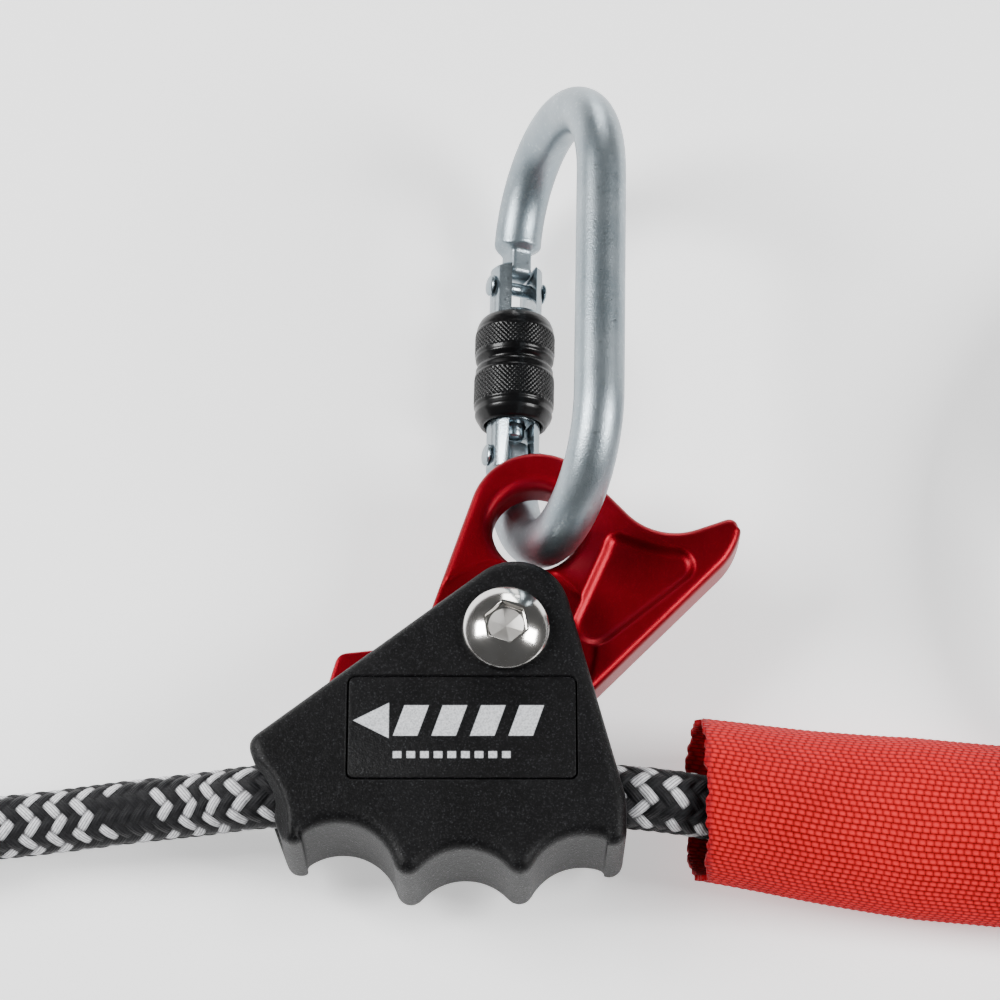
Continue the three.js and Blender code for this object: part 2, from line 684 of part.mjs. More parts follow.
// The cover swells from one rope to two, side by side.
function makeSpliceCover() {
  const sides = 20;
  const rows = [
    [0, 8.2, 8.2], [0.04, 8.6, 8.6], [0.4, coverHalfW * 0.8, coverHalfH], [0.6, coverHalfW, coverHalfH],
    [0.96, coverHalfW, coverHalfH], [1, coverHalfW - 0.6, coverHalfH - 0.6]];
  const round = arc(0, 0, 1, 0, 360, sides).slice(0, -1);
  return lofted(rows.map(([t, w, h]) => ({
    x: coverStartX + coverLen * t,
    points: round.map(([y, z]) => [endY + y * w, endZ + z * h]),
  })));
}

// A closed body from rings of [y, z] points at rising x.
function lofted(rows) {
  const n = rows[0].points.length;
  const positions = [];
  const index = [];
  rows.forEach(({ x, points }) => points.forEach(([y, z]) => positions.push(x, y, z)));
  for (let i = 0; i + 1 < rows.length; i += 1) {
    for (let k = 0; k < n; k += 1) {
      const [a, b] = [i * n + k, i * n + (k + 1) % n];
      index.push(a, b, b + n, a, b + n, a + n);
    }
  }
  for (let k = 1; k + 1 < n; k += 1) {
    const last = (rows.length - 1) * n;
    index.push(0, k + 1, k, last, last + k, last + k + 1);
  }
  const geometry = new THREE.BufferGeometry();
  geometry.setAttribute('position', new THREE.Float32BufferAttribute(positions, 3));
  geometry.setIndex(index);
  return geometry;
}

function makeEyeLoop() {
  const start = coverStartX + coverLen + gap;
  const turn = arc(eyeLoopX, endY, eyeLoopR, -112, 112, 14).map(([x, y]) => vec(x, y, endZ));
  const legs = [[0, 0.3], [3, 0.3], [7, 1.5]].map(([x, out]) => vec(start + x, endY - ropeR - out, endZ));
  const back = legs.map((p) => vec(p.x, 2 * endY - p.y, endZ)).reverse();
  return tube([...legs, ...turn, ...back], ropeR, 9, 26);
}

// The thimble: a ring with a groove that the rope lies in.
function makeThimble() {
  const floor = eyeLoopR - ropeR - gap;
  const groove = arc(eyeLoopR, 0, ropeR + gap, 140, 220, 6).reverse();
  const geometry = turned([
    [floor - 2.4, -6.4], [floor - 1, -7.6], [floor + 1.2, -7.8], ...groove,
    [floor + 1.2, 7.8], [floor - 1, 7.6], [floor - 2.4, 6.4], [floor - 2.4, -6.4]], 24);
  geometry.translate(eyeLoopX, endY, endZ);
  return geometry;
}

export default part;

addPiece('housing', makeHousing(), 'powder');
addPiece('label_plate', plate(panelShape(panelInset), frontZ - labelDepth + gap, frontZ - 0.1), 'label');
addPiece('pivot_bolt', makePivotBolt(), 'stainless');
addPiece('pivot_screw', makePivotScrew(), 'stainless');
addPiece('rear_washer', washer(midZ - camT / 2 - gap - washerT), 'bronze');
addPiece('front_washer', washer(midZ + camT / 2 + gap), 'bronze');
addPiece('cam_bushing', makeBushing(), 'bronze');
addPiece('cam_spring', makeCamSpring(), 'stainless');
addPiece('cam', makeCam(), 'redAlu');
addPiece('karabiner_body', makeKarabinerBody(), 'zinc', karabiner);
addPiece('karabiner_gate', makeGate(), 'zinc', karabiner);
addPiece('latch_pin', makeRivet(rivetHigh), 'zinc', karabiner);
addPiece('gate_rivet', makeRivet(rivetLow), 'zinc', karabiner);
addPiece('gate_spring', makeGateSpring(), 'stainless', karabiner);
addPiece('spring_plunger', makePlunger(), 'zinc', karabiner);
addPiece('lock_sleeve', makeLockSleeve(), 'blackSteel', karabiner);
addPiece('rope_tail', ropeTube(tailRoute, 14), 'rope');
addPiece('tail_stop', makeTailStop(), 'nylon');
addPiece('rope_lead', ropeTube(leadRoute, 18), 'rope');
addPiece('web_protector', makeWebProtector(), 'web');
addPiece('rope_coil', makeCoil(), 'rope');
addPiece('coil_tie', makeCoilTie(), 'nylon');
addPiece('rope_end', ropeTube(endRoute, 6), 'rope');
addPiece('splice_cover', makeSpliceCover(), 'nylon');
addPiece('eye_loop', makeEyeLoop(), 'rope');
addPiece('thimble', makeThimble(), 'nylon');
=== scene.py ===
import json
import math

import bpy
import numpy as np
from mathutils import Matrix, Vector


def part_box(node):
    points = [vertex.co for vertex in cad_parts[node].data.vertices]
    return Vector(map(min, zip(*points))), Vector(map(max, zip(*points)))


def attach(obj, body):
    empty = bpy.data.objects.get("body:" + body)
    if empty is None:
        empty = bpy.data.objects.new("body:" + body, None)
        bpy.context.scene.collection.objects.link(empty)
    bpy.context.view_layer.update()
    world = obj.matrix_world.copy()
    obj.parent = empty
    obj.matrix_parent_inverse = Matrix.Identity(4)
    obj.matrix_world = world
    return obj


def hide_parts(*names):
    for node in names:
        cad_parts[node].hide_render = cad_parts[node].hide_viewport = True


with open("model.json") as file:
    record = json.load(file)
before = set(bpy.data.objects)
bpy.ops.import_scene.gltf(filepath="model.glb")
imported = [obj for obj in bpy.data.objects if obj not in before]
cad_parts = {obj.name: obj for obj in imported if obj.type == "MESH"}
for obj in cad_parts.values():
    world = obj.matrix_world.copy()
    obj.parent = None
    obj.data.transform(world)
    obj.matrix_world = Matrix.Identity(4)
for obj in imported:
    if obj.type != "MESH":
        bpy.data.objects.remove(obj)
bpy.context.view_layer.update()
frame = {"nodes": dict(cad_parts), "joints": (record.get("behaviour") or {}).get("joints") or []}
print("frame loaded")

mm = 0.001
joints = {j["name"]: j for j in frame["joints"]}


# Small helpers.
def nodeBox(name):
    low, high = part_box(name)
    return np.array(low), np.array(high)


def unit(v):
    v = np.asarray(v, float)
    return v / np.linalg.norm(v, axis=-1, keepdims=True)


def fullTurn(count):
    return np.linspace(0, 2 * math.pi, count, endpoint=False)


def smoothStep(x, low, high):
    t = np.clip((x - low) / (high - low), 0, 1)
    return t * t * (3 - 2 * t)


# A mesh from a point array and face index arrays; smooth shaded.
def meshFrom(name, points, faces, uv=None):
    mesh = bpy.data.meshes.new(name)
    mesh.from_pydata(np.asarray(points, float).reshape(-1, 3), [], faces)
    mesh.update()
    if uv is not None:
        layer = mesh.uv_layers.new(name="UVMap")
        corner = np.zeros(len(mesh.loops), np.int32)
        mesh.loops.foreach_get("vertex_index", corner)
        layer.data.foreach_set("uv", uv(corner, mesh).astype(np.float32).ravel())
    mesh.polygons.foreach_set("use_smooth", np.ones(len(mesh.polygons), bool))
    made = bpy.data.objects.new(name, mesh)
    bpy.context.scene.collection.objects.link(made)
    return made


# Quads of an m by n grid of points, whose columns close on themselves.
def gridFaces(m, n, flip=False, base=0):
    rows, cols = np.arange(m - 1)[:, None], np.arange(n)[None, :]
    a = rows * n + cols
    b = rows * n + (cols + 1) % n
    quads = np.stack([a, b, b + n, a + n], -1).reshape(-1, 4) + base
    return quads[:, ::-1] if flip else quads


# The same quads, with the last row joined to the first.
def ringFaces(m, n):
    k = np.arange(n)
    ahead = (k + 1) % n
    closing = np.stack([(m - 1) * n + k, (m - 1) * n + ahead, ahead, k], -1)
    return gridFaces(m, n).tolist() + closing.tolist()


# The column of each face corner in grids of n columns: a face over the seam ends at n instead of at 0.
def seamColumns(corner, mesh, n):
    start = np.zeros(len(mesh.polygons), np.int32)
    mesh.polygons.foreach_get("loop_start", start)
    col = (corner % n).astype(float)
    wraps = (np.maximum.reduceat(col, start) == n - 1) & (np.minimum.reduceat(col, start) == 0)
    return np.where(np.repeat(wraps, np.diff([*start, len(corner)])) & (col == 0), n, col)


# A closed skin: rings of points, shape (rows, around, 3), with one face across each end. Where along is
# given, it is each row's second texture coordinate, and the first runs from 0 to 1 round the ring.
def skinOf(name, rings, flip=False, along=None):
    m, n = rings.shape[:2]
    quads = gridFaces(m, n, flip=flip).tolist()
    first, last = list(range(n)), list(range((m - 1) * n, m * n))
    quads.append(first if flip else first[::-1])
    quads.append(last[::-1] if flip else last)
    if along is None:
        return meshFrom(name, rings, quads)

    def uv(corner, mesh):
        return np.stack([seamColumns(corner, mesh, n) / n, along[corner // n]], -1)

    return meshFrom(name, rings, quads, uv)


# A merged copy of a CAD node, which can be smoothed or remeshed.
def copyOf(nodeName, name):
    mesh = frame["nodes"][nodeName].data.copy()
    mesh.materials.clear()
    made = bpy.data.objects.new(name, mesh)
    bpy.context.scene.collection.objects.link(made)
    weld = made.modifiers.new("weld", "WELD")
    weld.merge_threshold = 2e-6
    return made


# Applies every modifier of an object, so that its mesh is final.
def bake(made):
    graph = bpy.context.evaluated_depsgraph_get()
    graph.update()
    final = bpy.data.meshes.new_from_object(made.evaluated_get(graph), depsgraph=graph)
    made.modifiers.clear()
    made.data = final
    return made


def smoothByAngle(made, degrees):
    made.data.polygons.foreach_set("use_smooth", np.ones(len(made.data.polygons), bool))
    made.data.set_sharp_from_angle(angle=math.radians(degrees))
    return made


def bevelled(made, width, segments, degrees):
    bevel = made.modifiers.new("bevel", "BEVEL")
    bevel.width, bevel.segments = width, segments
    bevel.limit_method, bevel.angle_limit = "ANGLE", math.radians(degrees)
    bevel.harden_normals = False
    return made


# Cuts tools out of a body in turn, with solid booleans, and removes the tools.
def cutOut(body, tools):
    for tool in tools:
        cut = body.modifiers.new("cut", "BOOLEAN")
        cut.operation, cut.solver, cut.object = "DIFFERENCE", "MANIFOLD", tool
        bake(body)
        bpy.data.objects.remove(tool)
    return body


# Evens out the mesh with a voxel remesh and softens its edges: each pass moves a point
# halfway to its neighbours' mean.
def castSoft(body, voxel, passes):
    remesh = body.modifiers.new("remesh", "REMESH")
    remesh.mode, remesh.voxel_size, remesh.use_smooth_shade = "VOXEL", voxel, True
    bake(body)
    soften = body.modifiers.new("soften", "SMOOTH")
    soften.factor, soften.iterations = 0.5, passes
    bake(body)
    body.data.polygons.foreach_set("use_smooth", np.ones(len(body.data.polygons), bool))
    return body


def arcPoints(cx, cy, r, start, end, count):
    a = np.radians(np.linspace(start, end, count))
    return np.stack([cx + r * np.cos(a), cy + r * np.sin(a)], -1)


# The outline of a band drawn round a row of circles (x, y, radius) by their common tangents, anticlockwise.
# A negative radius is a hollow. The radii all shrink by inset, and step is the spacing along the arcs.
def bandOutline(circles, inset, step):
    c = np.array(circles, float)
    ahead = np.roll(c, -1, 0)
    way = ahead[:, :2] - c[:, :2]
    reach = np.hypot(way[:, 0], way[:, 1])

    def bearings(radius):
        cosine = np.clip((radius - np.roll(radius, -1)) / reach, -1, 1)
        leaving = np.arctan2(way[:, 1], way[:, 0]) - np.arccos(cosine)
        came = np.roll(leaving, 1)
        turn = np.mod((leaving - came) * np.sign(radius) + 0.3, 2 * math.pi) - 0.3
        return came, turn

    steps = np.maximum(2, np.ceil(np.abs(c[:, 2]) * bearings(c[:, 2])[1] / step)).astype(int)
    radius = c[:, 2] - inset
    came, turn = bearings(radius)
    out = []
    for (x, y, _), r, a0, t, k in zip(c, radius, came, turn, steps):
        a = a0 + np.sign(r) * t * np.linspace(0, 1, k + 1)
        out.append(np.stack([x + r * np.cos(a), y + r * np.sin(a)], -1))
    return np.concatenate(out)


# A plate from stacked outlines: levels are (height, inset) pairs from low to high.
def bandPlate(name, circles, levels, step):
    whole = bandOutline(circles, 0.0, step)
    kept = np.linalg.norm(whole - np.roll(whole, 1, 0), axis=1) > 1e-4
    rings = []
    for z, inset in levels:
        flat = bandOutline(circles, inset, step)[kept]
        rings.append(np.column_stack([flat, np.full(len(flat), z)]))
    return skinOf(name, np.array(rings) * mm)


def prism(name, outline, z0, z1):
    flat = np.asarray(outline, float)
    rings = [np.column_stack([flat, np.full(len(flat), z)]) for z in (z0, z1)]
    return skinOf(name, np.array(rings) * mm)


# A turned solid: a profile of (radius, height) pairs round an axis through centre.
def turnedSolid(name, profile, centre, axis, sides):
    p = np.asarray(profile, float)
    axis = unit(axis)
    side = unit(np.cross(axis, [0.3, 0.9, 0.1]))
    other = np.cross(axis, side)
    a = fullTurn(sides)
    spokes = np.cos(a)[:, None] * side + np.sin(a)[:, None] * other
    rings = p[:, 0, None, None] * spokes + p[:, 1, None, None] * axis
    return skinOf(name, np.asarray(centre, float) + rings * mm)


# A socket whose operators and methods add Math nodes.
class Value:
    def __init__(self, sheet, socket):
        self.sheet, self.socket = sheet, socket

    def math(self, operation, *others):
        return self.sheet.add("ShaderNodeMath", {"operation": operation}, [self, *others])

    def __rsub__(self, other):
        return self.sheet.add("ShaderNodeMath", {"operation": "SUBTRACT"}, [other, self])

    # Rises from 0 at low to 1 at high, as t * t * (3 - 2 * t).
    def step(self, low, high):
        return self.sheet.add("ShaderNodeMapRange", {"interpolation_type": "SMOOTHSTEP"},
                              {"Value": self, "From Min": low, "From Max": high})


def mathMethod(operation):
    return lambda value, *others: value.math(operation, *others)


for method, operation in {
        "__add__": "ADD", "__radd__": "ADD", "__sub__": "SUBTRACT", "__mul__": "MULTIPLY",
        "__rmul__": "MULTIPLY", "__truediv__": "DIVIDE", "__pow__": "POWER", "__lt__": "LESS_THAN",
        "floor": "FLOOR", "fract": "FRACT", "abs": "ABSOLUTE", "sin": "SINE", "cos": "COSINE",
        "mod": "FLOORED_MODULO", "max": "MAXIMUM", "min": "MINIMUM"}.items():
    setattr(Value, method, mathMethod(operation))


# One material: its shader, and the nodes that feed it.
class Finish:
    def __init__(self, name, **constants):
        self.material = bpy.data.materials.new(name)
        self.material.use_nodes = True
        self.tree = self.material.node_tree
        self.shader = self.tree.nodes["Principled BSDF"]
        for socket, value in constants.items():
            self.shader.inputs[socket.replace("_", " ")].default_value = value
        self.place = self.add("ShaderNodeTexCoord", {}, {}, out="Object")

    def add(self, kind, settings, inputs, out=0):
        node = self.tree.nodes.new(kind)
        for key, value in settings.items():
            setattr(node, key, value)
        pairs = inputs.items() if isinstance(inputs, dict) else enumerate(inputs)
        for key, value in pairs:
            if isinstance(value, Value):
                self.tree.links.new(value.socket, node.inputs[key])
            else:
                node.inputs[key].default_value = value
        return Value(self, node.outputs[out])

    def noise(self, scale, detail, rough, vector=None):
        return self.add("ShaderNodeTexNoise", {}, {
            "Vector": vector or self.place, "Scale": scale, "Detail": detail, "Roughness": rough})

    # A random colour for each cell.
    def cells(self, scale):
        return self.add("ShaderNodeTexVoronoi", {}, {"Vector": self.place, "Scale": scale}, "Color")

    def parts(self, vector):
        node = self.tree.nodes.new("ShaderNodeSeparateXYZ")
        self.tree.links.new(vector.socket, node.inputs[0])
        return [Value(self, node.outputs[i]) for i in range(3)]

    def join(self, x, y, z):
        return self.add("ShaderNodeCombineXYZ", {}, [x, y, z])

    def uv(self):
        return self.parts(self.add("ShaderNodeUVMap", {"uv_map": "UVMap"}, {}))

    # A mix of two colours; either may be a colour or a link.
    def blend(self, share, a, b):
        ready = [c if isinstance(c, Value) else (*c, 1) for c in (a, b)]
        node = self.tree.nodes.new("ShaderNodeMix")
        node.data_type = "RGBA"
        for key, value in ((0, share), (6, ready[0]), (7, ready[1])):
            if isinstance(value, Value):
                self.tree.links.new(value.socket, node.inputs[key])
            else:
                node.inputs[key].default_value = value
        return Value(self, node.outputs[2])

    def bump(self, height, distance, strength):
        return self.add("ShaderNodeBump", {}, {
            "Height": height, "Distance": distance, "Strength": strength}, "Normal")

    def feed(self, **sockets):
        for socket, value in sockets.items():
            target = self.shader.inputs[socket.replace("_", " ")]
            if isinstance(value, Value):
                self.tree.links.new(value.socket, target)
            else:
                target.default_value = value
        return self.material


# Gives a piece its material, its body and the CAD nodes it replaces.
def dress(made, material, body, replaces):
    made.data.materials.clear()
    made.data.materials.append(material)
    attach(made, body)
    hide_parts(*replaces)


# Camera.
cameraFacts = {"elevation": 68.0, "focal": 113.2, "distance": 0.708, "target": (-0.0013, 0.0371, 0.0208),
               "sensor": 36.0, "near": 0.01, "far": 20}


def placeCamera(facts):
    data = bpy.data.cameras.new("camera")
    data.lens, data.sensor_width = facts["focal"], facts["sensor"]
    camera = bpy.data.objects.new("camera", data)
    bpy.context.scene.collection.objects.link(camera)
    e = math.radians(facts["elevation"])
    back = Vector((0, -math.cos(e), math.sin(e)))
    camera.location = Vector(facts["target"]) + back * facts["distance"]
    camera.rotation_mode = "QUATERNION"
    camera.rotation_quaternion = (-back).to_track_quat("-Z", "Y")
    data.clip_start, data.clip_end = facts["near"], facts["far"]
    bpy.context.scene.camera = camera


placeCamera(cameraFacts)

# Rope.
ropeFacts = {
    "radius": 7.0,
    "strands": 12,          # strands each way round the sheath
    "cell": 3.1,            # how far along the rope from one strand to the next, mm
    "relief": 0.42,         # how far a strand stands up, mm
    "coilCentre": (215.0, 41.65),
    "outer": 84.15, "inner": 69.85,
    "floorZ": 8.6, "humpZ": 23.0,
    "endY": -56.8, "endZ": 8.8, "coverX": 309.0,
    "boreZ": 23.05,         # the rope's height in the housing
    "near": 0.55,           # ring spacing where the rope is looked at; turns and out are spacings further off
    "turns": 2.0, "out": 1.5,
    "tailPhase": 11.0, "leadPhase": 13.0,       # where the braid's pattern starts, mm
}


# A smooth line through points: a centripetal spline through them, sampled evenly about every step.
def throughPoints(points, step):
    p = np.asarray(points, float)
    p = np.vstack([2 * p[0] - p[1], p, 2 * p[-1] - p[-2]])
    knots = np.concatenate([[0], np.cumsum(np.linalg.norm(np.diff(p, axis=0), axis=1) ** 0.5)])
    spans = []
    for i in range(1, len(p) - 2):
        t0, t1, t2, t3 = knots[i - 1:i + 3]
        t = np.linspace(t1, t2, 24, endpoint=False)[:, None]
        a1 = (t1 - t) / (t1 - t0) * p[i - 1] + (t - t0) / (t1 - t0) * p[i]
        a2 = (t2 - t) / (t2 - t1) * p[i] + (t - t1) / (t2 - t1) * p[i + 1]
        a3 = (t3 - t) / (t3 - t2) * p[i + 1] + (t - t2) / (t3 - t2) * p[i + 2]
        b1 = (t2 - t) / (t2 - t0) * a1 + (t - t0) / (t2 - t0) * a2
        b2 = (t3 - t) / (t3 - t1) * a2 + (t - t1) / (t3 - t1) * a3
        spans.append((t2 - t) / (t2 - t1) * b1 + (t - t1) / (t2 - t1) * b2)
    return evenly(np.vstack([*spans, p[-2:-1]]), step)


def distanceAlong(line):
    return np.concatenate([[0], np.cumsum(np.linalg.norm(np.diff(line, axis=0), axis=1))])


def evenly(line, step):
    s = distanceAlong(line)
    at = np.linspace(0, s[-1], max(8, int(round(s[-1] / step)) + 1))
    return np.stack([np.interp(at, s, line[:, k]) for k in range(3)], -1)


def lengthOf(line):
    return float(distanceAlong(line)[-1])


# Smooths a line's points by their neighbours' mean, passes times, keeping its ends.
def relaxed(line, passes):
    for _ in range(passes):
        line = np.vstack([line[:1], (line[:-2] + 2 * line[1:-1] + line[2:]) / 4, line[-1:]])
    return line


def tailLine(facts):
    z = facts["boreZ"]
    return throughPoints([(-0.2, -32.8, z), (-30, -32.8, z), (-52, -32.8, z - 0.6), (-66, -32.9, 17.2),
                          (-82, -33.6, 13.4), (-98, -35, 11), (-113, -36.4, 10.5), (-122, -36.4, 10.5)],
                         facts["near"])


# The working rope: out of the bore, down to the table, and into the coil. The coil is a first turn on the
# table, a second inside it, and a third in the groove on top, which then crosses over to lie beside the coil.
def leadLine(facts):
    z = facts["boreZ"]
    lead = throughPoints([(0.2, -32.8, z), (20, -32.8, z), (32, -33.4, z - 0.8), (48, -34.6, 18),
                          (70, -36.6, 13), (95, -38.9, 10.8), (120, -41, 10.3), (145, -42.5, 10.1),
                          (166, -42.5, 9.6), (190, -42.5, 8.7), (215, -42.5, facts["floorZ"])], facts["near"])
    cx, cy = facts["coilCentre"]
    outer, inner = facts["outer"], facts["inner"]
    pitch = outer - inner
    phi = np.arange(-89.5, 822, 0.5)
    # the first turn drifts inside itself before it comes round to the incoming rope
    r = outer - pitch * smoothStep(phi, 216, 268)
    # the second turn rolls up the side of the first into the groove between them, and over that drift
    roll = math.radians(60) * smoothStep(phi, 498, 576)
    r = r + pitch * (1 - np.cos(roll))
    height = facts["floorZ"] + pitch * np.sin(roll) + 2.0 * np.exp(-((phi - 602) / 18) ** 2)
    a = np.radians(phi)
    coil = np.stack([cx + r * np.cos(a), cy + r * np.sin(a), height], -1)
    # off the top at the far left, over the first turn and the incoming rope
    high = facts["humpZ"]
    off = [(822, 77.0, 21.0), (826, 77.05, 21.0), (833, 77.3, 21.2), (845, 78.6, 21.8), (862, 81.6, high),
           (880, 86.5, high), (898, 91.8, high), (916, 96.0, high), (934, 98.2, high + 0.1)]
    leave = [(cx + q * math.cos(math.radians(p)), cy + q * math.sin(math.radians(p)), h) for p, q, h in off]
    y, z = facts["endY"], facts["endZ"]
    end = [(186, -50.8, high - 0.2), (205, -55.6, 19.0), (222, y, 13.5), (242, y, 9.9), (262, y, 9.0),
           (285, y, z), (300, y, z), (facts["coverX"] - 0.3, y, z)]
    out = throughPoints(leave + end, 0.7)
    return lead, coil, out


# The braid's height, 0 to 1: strands run both ways, each over two and under two. Each is a half circle
# across, times a half sine wave along the stretch where it lies on top.
def braidHeight(u, s, facts):
    n = facts["strands"]
    a, b = u * n + s / facts["cell"], u * n - s / facts["cell"]
    i, j = np.floor(a), np.floor(b)
    upper = np.mod(i + j, 4) < 2
    across = np.where(upper, a - i, b - j)
    along = np.where(upper, np.mod(i + b, 4), np.mod(a + j, 4) - 2) / 2
    domed = np.sqrt(np.clip(1 - (2 * across - 1) ** 2, 0, 1))
    return domed * (0.35 + 0.65 * np.sin(np.pi * np.clip(along, 0, 1)))


# A rope skin along a line: rings square to it, turned as little as can be, with the braid standing on them.
def ropeSkin(name, line, facts, around, start=0.0):
    line = np.asarray(line, float)
    tangent = unit(np.gradient(line, axis=0))
    up = np.tile([0.0, 0.0, 1.0], (len(line), 1))
    side = unit(np.cross(tangent, up))
    up = np.cross(side, tangent)
    s = start + distanceAlong(line)
    u = np.arange(around) / around
    lift = braidHeight(u[None, :], s[:, None], facts)
    r = facts["radius"] - facts["relief"] * (1 - lift)
    a = 2 * math.pi * u
    ring = np.cos(a)[None, :, None] * side[:, None, :] + np.sin(a)[None, :, None] * up[:, None, :]
    rings = line[:, None, :] + r[:, :, None] * ring
    return skinOf(name, rings * mm, flip=True, along=s)


tail = tailLine(ropeFacts)
leadStraight, leadCoil, leadOut = leadLine(ropeFacts)
# closer rings where the rope is looked at
turns, out = evenly(leadCoil, ropeFacts["turns"]), evenly(leadOut, ropeFacts["out"])
lead = np.vstack([leadStraight, turns[1:], out[1:]])
tailRope = ropeSkin("tailRope", tail, ropeFacts, 96, start=ropeFacts["tailPhase"])
leadRope = ropeSkin("leadRope", lead, ropeFacts, 66, start=ropeFacts["leadPhase"])
print("rope lines", round(lengthOf(tail)), round(lengthOf(lead)), "mm")


# Braided sheath: the same over two, under two pattern as the mesh, with yarns, pale tracer strands, and
# painted shade in the gaps between strands and where a strand dips under another.
def ropeFinish(facts):
    f = Finish("ropeSheath", Roughness=0.55, Specular_IOR_Level=0.22, Sheen_Weight=0.02, Sheen_Roughness=0.4)
    u, s, _ = f.uv()
    n = facts["strands"]
    a = u * n + s / facts["cell"]
    b = u * n - s / facts["cell"]
    i, j = a.floor(), b.floor()
    upper = (i + j).mod(4) < 2
    lower = 1 - upper
    across = upper * a.fract() + lower * b.fract()
    along = (upper * (i + b).mod(4) + lower * ((a + j).mod(4) - 2)) / 2
    number = (upper * i + lower * j).mod(n)
    pale = ((number + 0.5).mod(2) < 1) * (number < 7)
    side = 2 * across - 1
    domed = (1 - side * side).max(0.0) ** 0.5
    arch = (along.min(1).max(0) * math.pi).sin()
    yarn = (across * (8 * math.pi)).cos() * 0.5 + 0.5
    twist = ((along * 16 + across * 10) * math.pi).sin() * 0.5 + 0.5
    fibre = f.noise(1500, 3, 0.6)
    height = domed * (0.3 + 0.7 * arch) + yarn * 0.16 + fibre * 0.12 + twist * 0.05
    # edge is low in the gaps between strands and where a strand dips under another: the mask of the painted
    # shade below
    edge = (domed * (0.25 + 0.75 * arch)).step(0.05, 0.6)
    dark = f.blend(fibre.step(0.3, 0.7), (0.0015, 0.0015, 0.002), (0.008, 0.008, 0.0095))
    dark = f.blend(yarn * 0.35, dark, (0.014, 0.014, 0.016))
    lines = (yarn.step(0.12, 0.5) * 0.75 + 0.25) * (fibre.step(0.2, 0.6) * 0.5 + 0.5)
    light = f.blend(lines, (0.13, 0.13, 0.14), (0.78, 0.78, 0.8))
    colour = f.blend(pale, dark, light)
    # painted shade: near black where edge is low, in the gaps between strands and where a strand dips under
    colour = f.blend(edge, (0.004, 0.004, 0.005), colour)
    return f.feed(Base_Color=colour, Normal=f.bump(height, 0.00055, 0.85),
                  Roughness=0.62 - 0.18 * pale)


ropeMaterial = ropeFinish(ropeFacts)
dress(tailRope, ropeMaterial, "grab", ["rope_tail"])
dress(leadRope, ropeMaterial, "grab", ["rope_lead", "rope_coil", "rope_end"])


def declareCord(line):
    line = line * mm


# Housing.
backZ, frontZ = nodeBox("housing")[0][2] / mm, nodeBox("housing")[1][2] / mm
midZ = (backZ + frontZ) / 2

housingFacts = {
    "grooves": [(-35.6, -55.2), (-8.8, -60.9), (16.6, -57.9)],   # finger grooves
    "grooveR": 12.5, "ridgeR": 3.1, "edge": 2.8,
    "leftCircles": [(2, 4.6, 12), (-51.6, -25.6, 3.2), (-44.7, -44.2, 3.1)],
    "rightCircles": [(22.4, -44.5, 3.1), (16.2, -38.6, 9.4)],
    "panel": (0.42, 1.7, 0.85),     # the label recess: its gap round the label, corner radius and depth
    "slot": 6.2,            # half of the slot for the cam
    "ropeY": -32.8, "boreR": 7.7, "scoop": (-65.5, -44, 44, 20.5),
    "voxel": 0.00052, "passes": 7,
}


# The circle of radius r that touches grooves a and b, of radius big: its centre is big + r from each.
def ridgeBetween(a, b, big, r):
    (ax, ay), (bx, by) = a, b
    half = math.hypot(bx - ax, by - ay) / 2
    up = math.sqrt((big + r) ** 2 - half ** 2) / (2 * half)
    return (ax + bx) / 2 - (by - ay) * up, (ay + by) / 2 + (bx - ax) * up, r


# Heights and insets of a plate whose edges are quarter rounds of radius r.
def roundedLevels(z0, z1, r, steps):
    a = np.linspace(0, math.pi / 2, steps)
    low = np.stack([z0 + r * (1 - np.sin(a)), r * (1 - np.cos(a))], -1)[::-1]
    high = np.stack([z1 - r * (1 - np.sin(a)), r * (1 - np.cos(a))], -1)
    return np.vstack([low, high])


def makeHousing(facts):
    g, big = facts["grooves"], facts["grooveR"]
    ridges = [ridgeBetween(g[k], g[k + 1], big, facts["ridgeR"]) for k in (0, 1)]
    left, right = facts["leftCircles"], facts["rightCircles"]
    circles = [*left, (*g[0], -big), ridges[0], (*g[1], -big), ridges[1], (*g[2], -big), *right]
    body = bandPlate("housingShell", circles, roundedLevels(backZ, frontZ, facts["edge"], 8), 0.8)
    y = facts["ropeY"]
    slot = [(60, -10), (60, 40), (-60, 40), (-60, -14), *arcPoints(0, 0, 43.5, 199, 214, 6), (-34, y + 2),
            (-3, y + 2), (-1, -23.5), (12, -18), (30, -14.5)]
    slot = prism("slotTool", slot, midZ - facts["slot"], midZ + facts["slot"])
    r = facts["boreR"]
    bore = [(0, -64), (11.6, -64), (11.6, -54), (11.2, -50), (10.4, -46.8), (9.4, -44), (8.4, -42),
            (r, -39.5), (r, 16.4), (8.0, 19.8), (8.9, 22.8), (10.6, 25.4), (10.6, 64), (0, 64)]
    bore = turnedSolid("boreTool", bore, np.array([0, y, midZ]) * mm, (1, 0, 0), 72)
    x, y, z, radius = facts["scoop"]
    ball = arcPoints(0, 0, radius, -84, 84, 25)
    scoop = turnedSolid("scoopTool", ball, np.array([x, y, z]) * mm, (0, 0, 1), 64)
    cutOut(body, [slot, bore, scoop])
    castSoft(body, facts["voxel"], facts["passes"])
    low, high = nodeBox("label_plate")
    gap, corner, depth = facts["panel"]
    low, high = low / mm - gap, high / mm + gap
    outline = roundedRect((low[0], high[0]), (low[1], high[1]), corner)
    cutOut(body, [prism("panelTool", outline, frontZ - depth, frontZ + 4)])
    return body


cornerSteps = 7


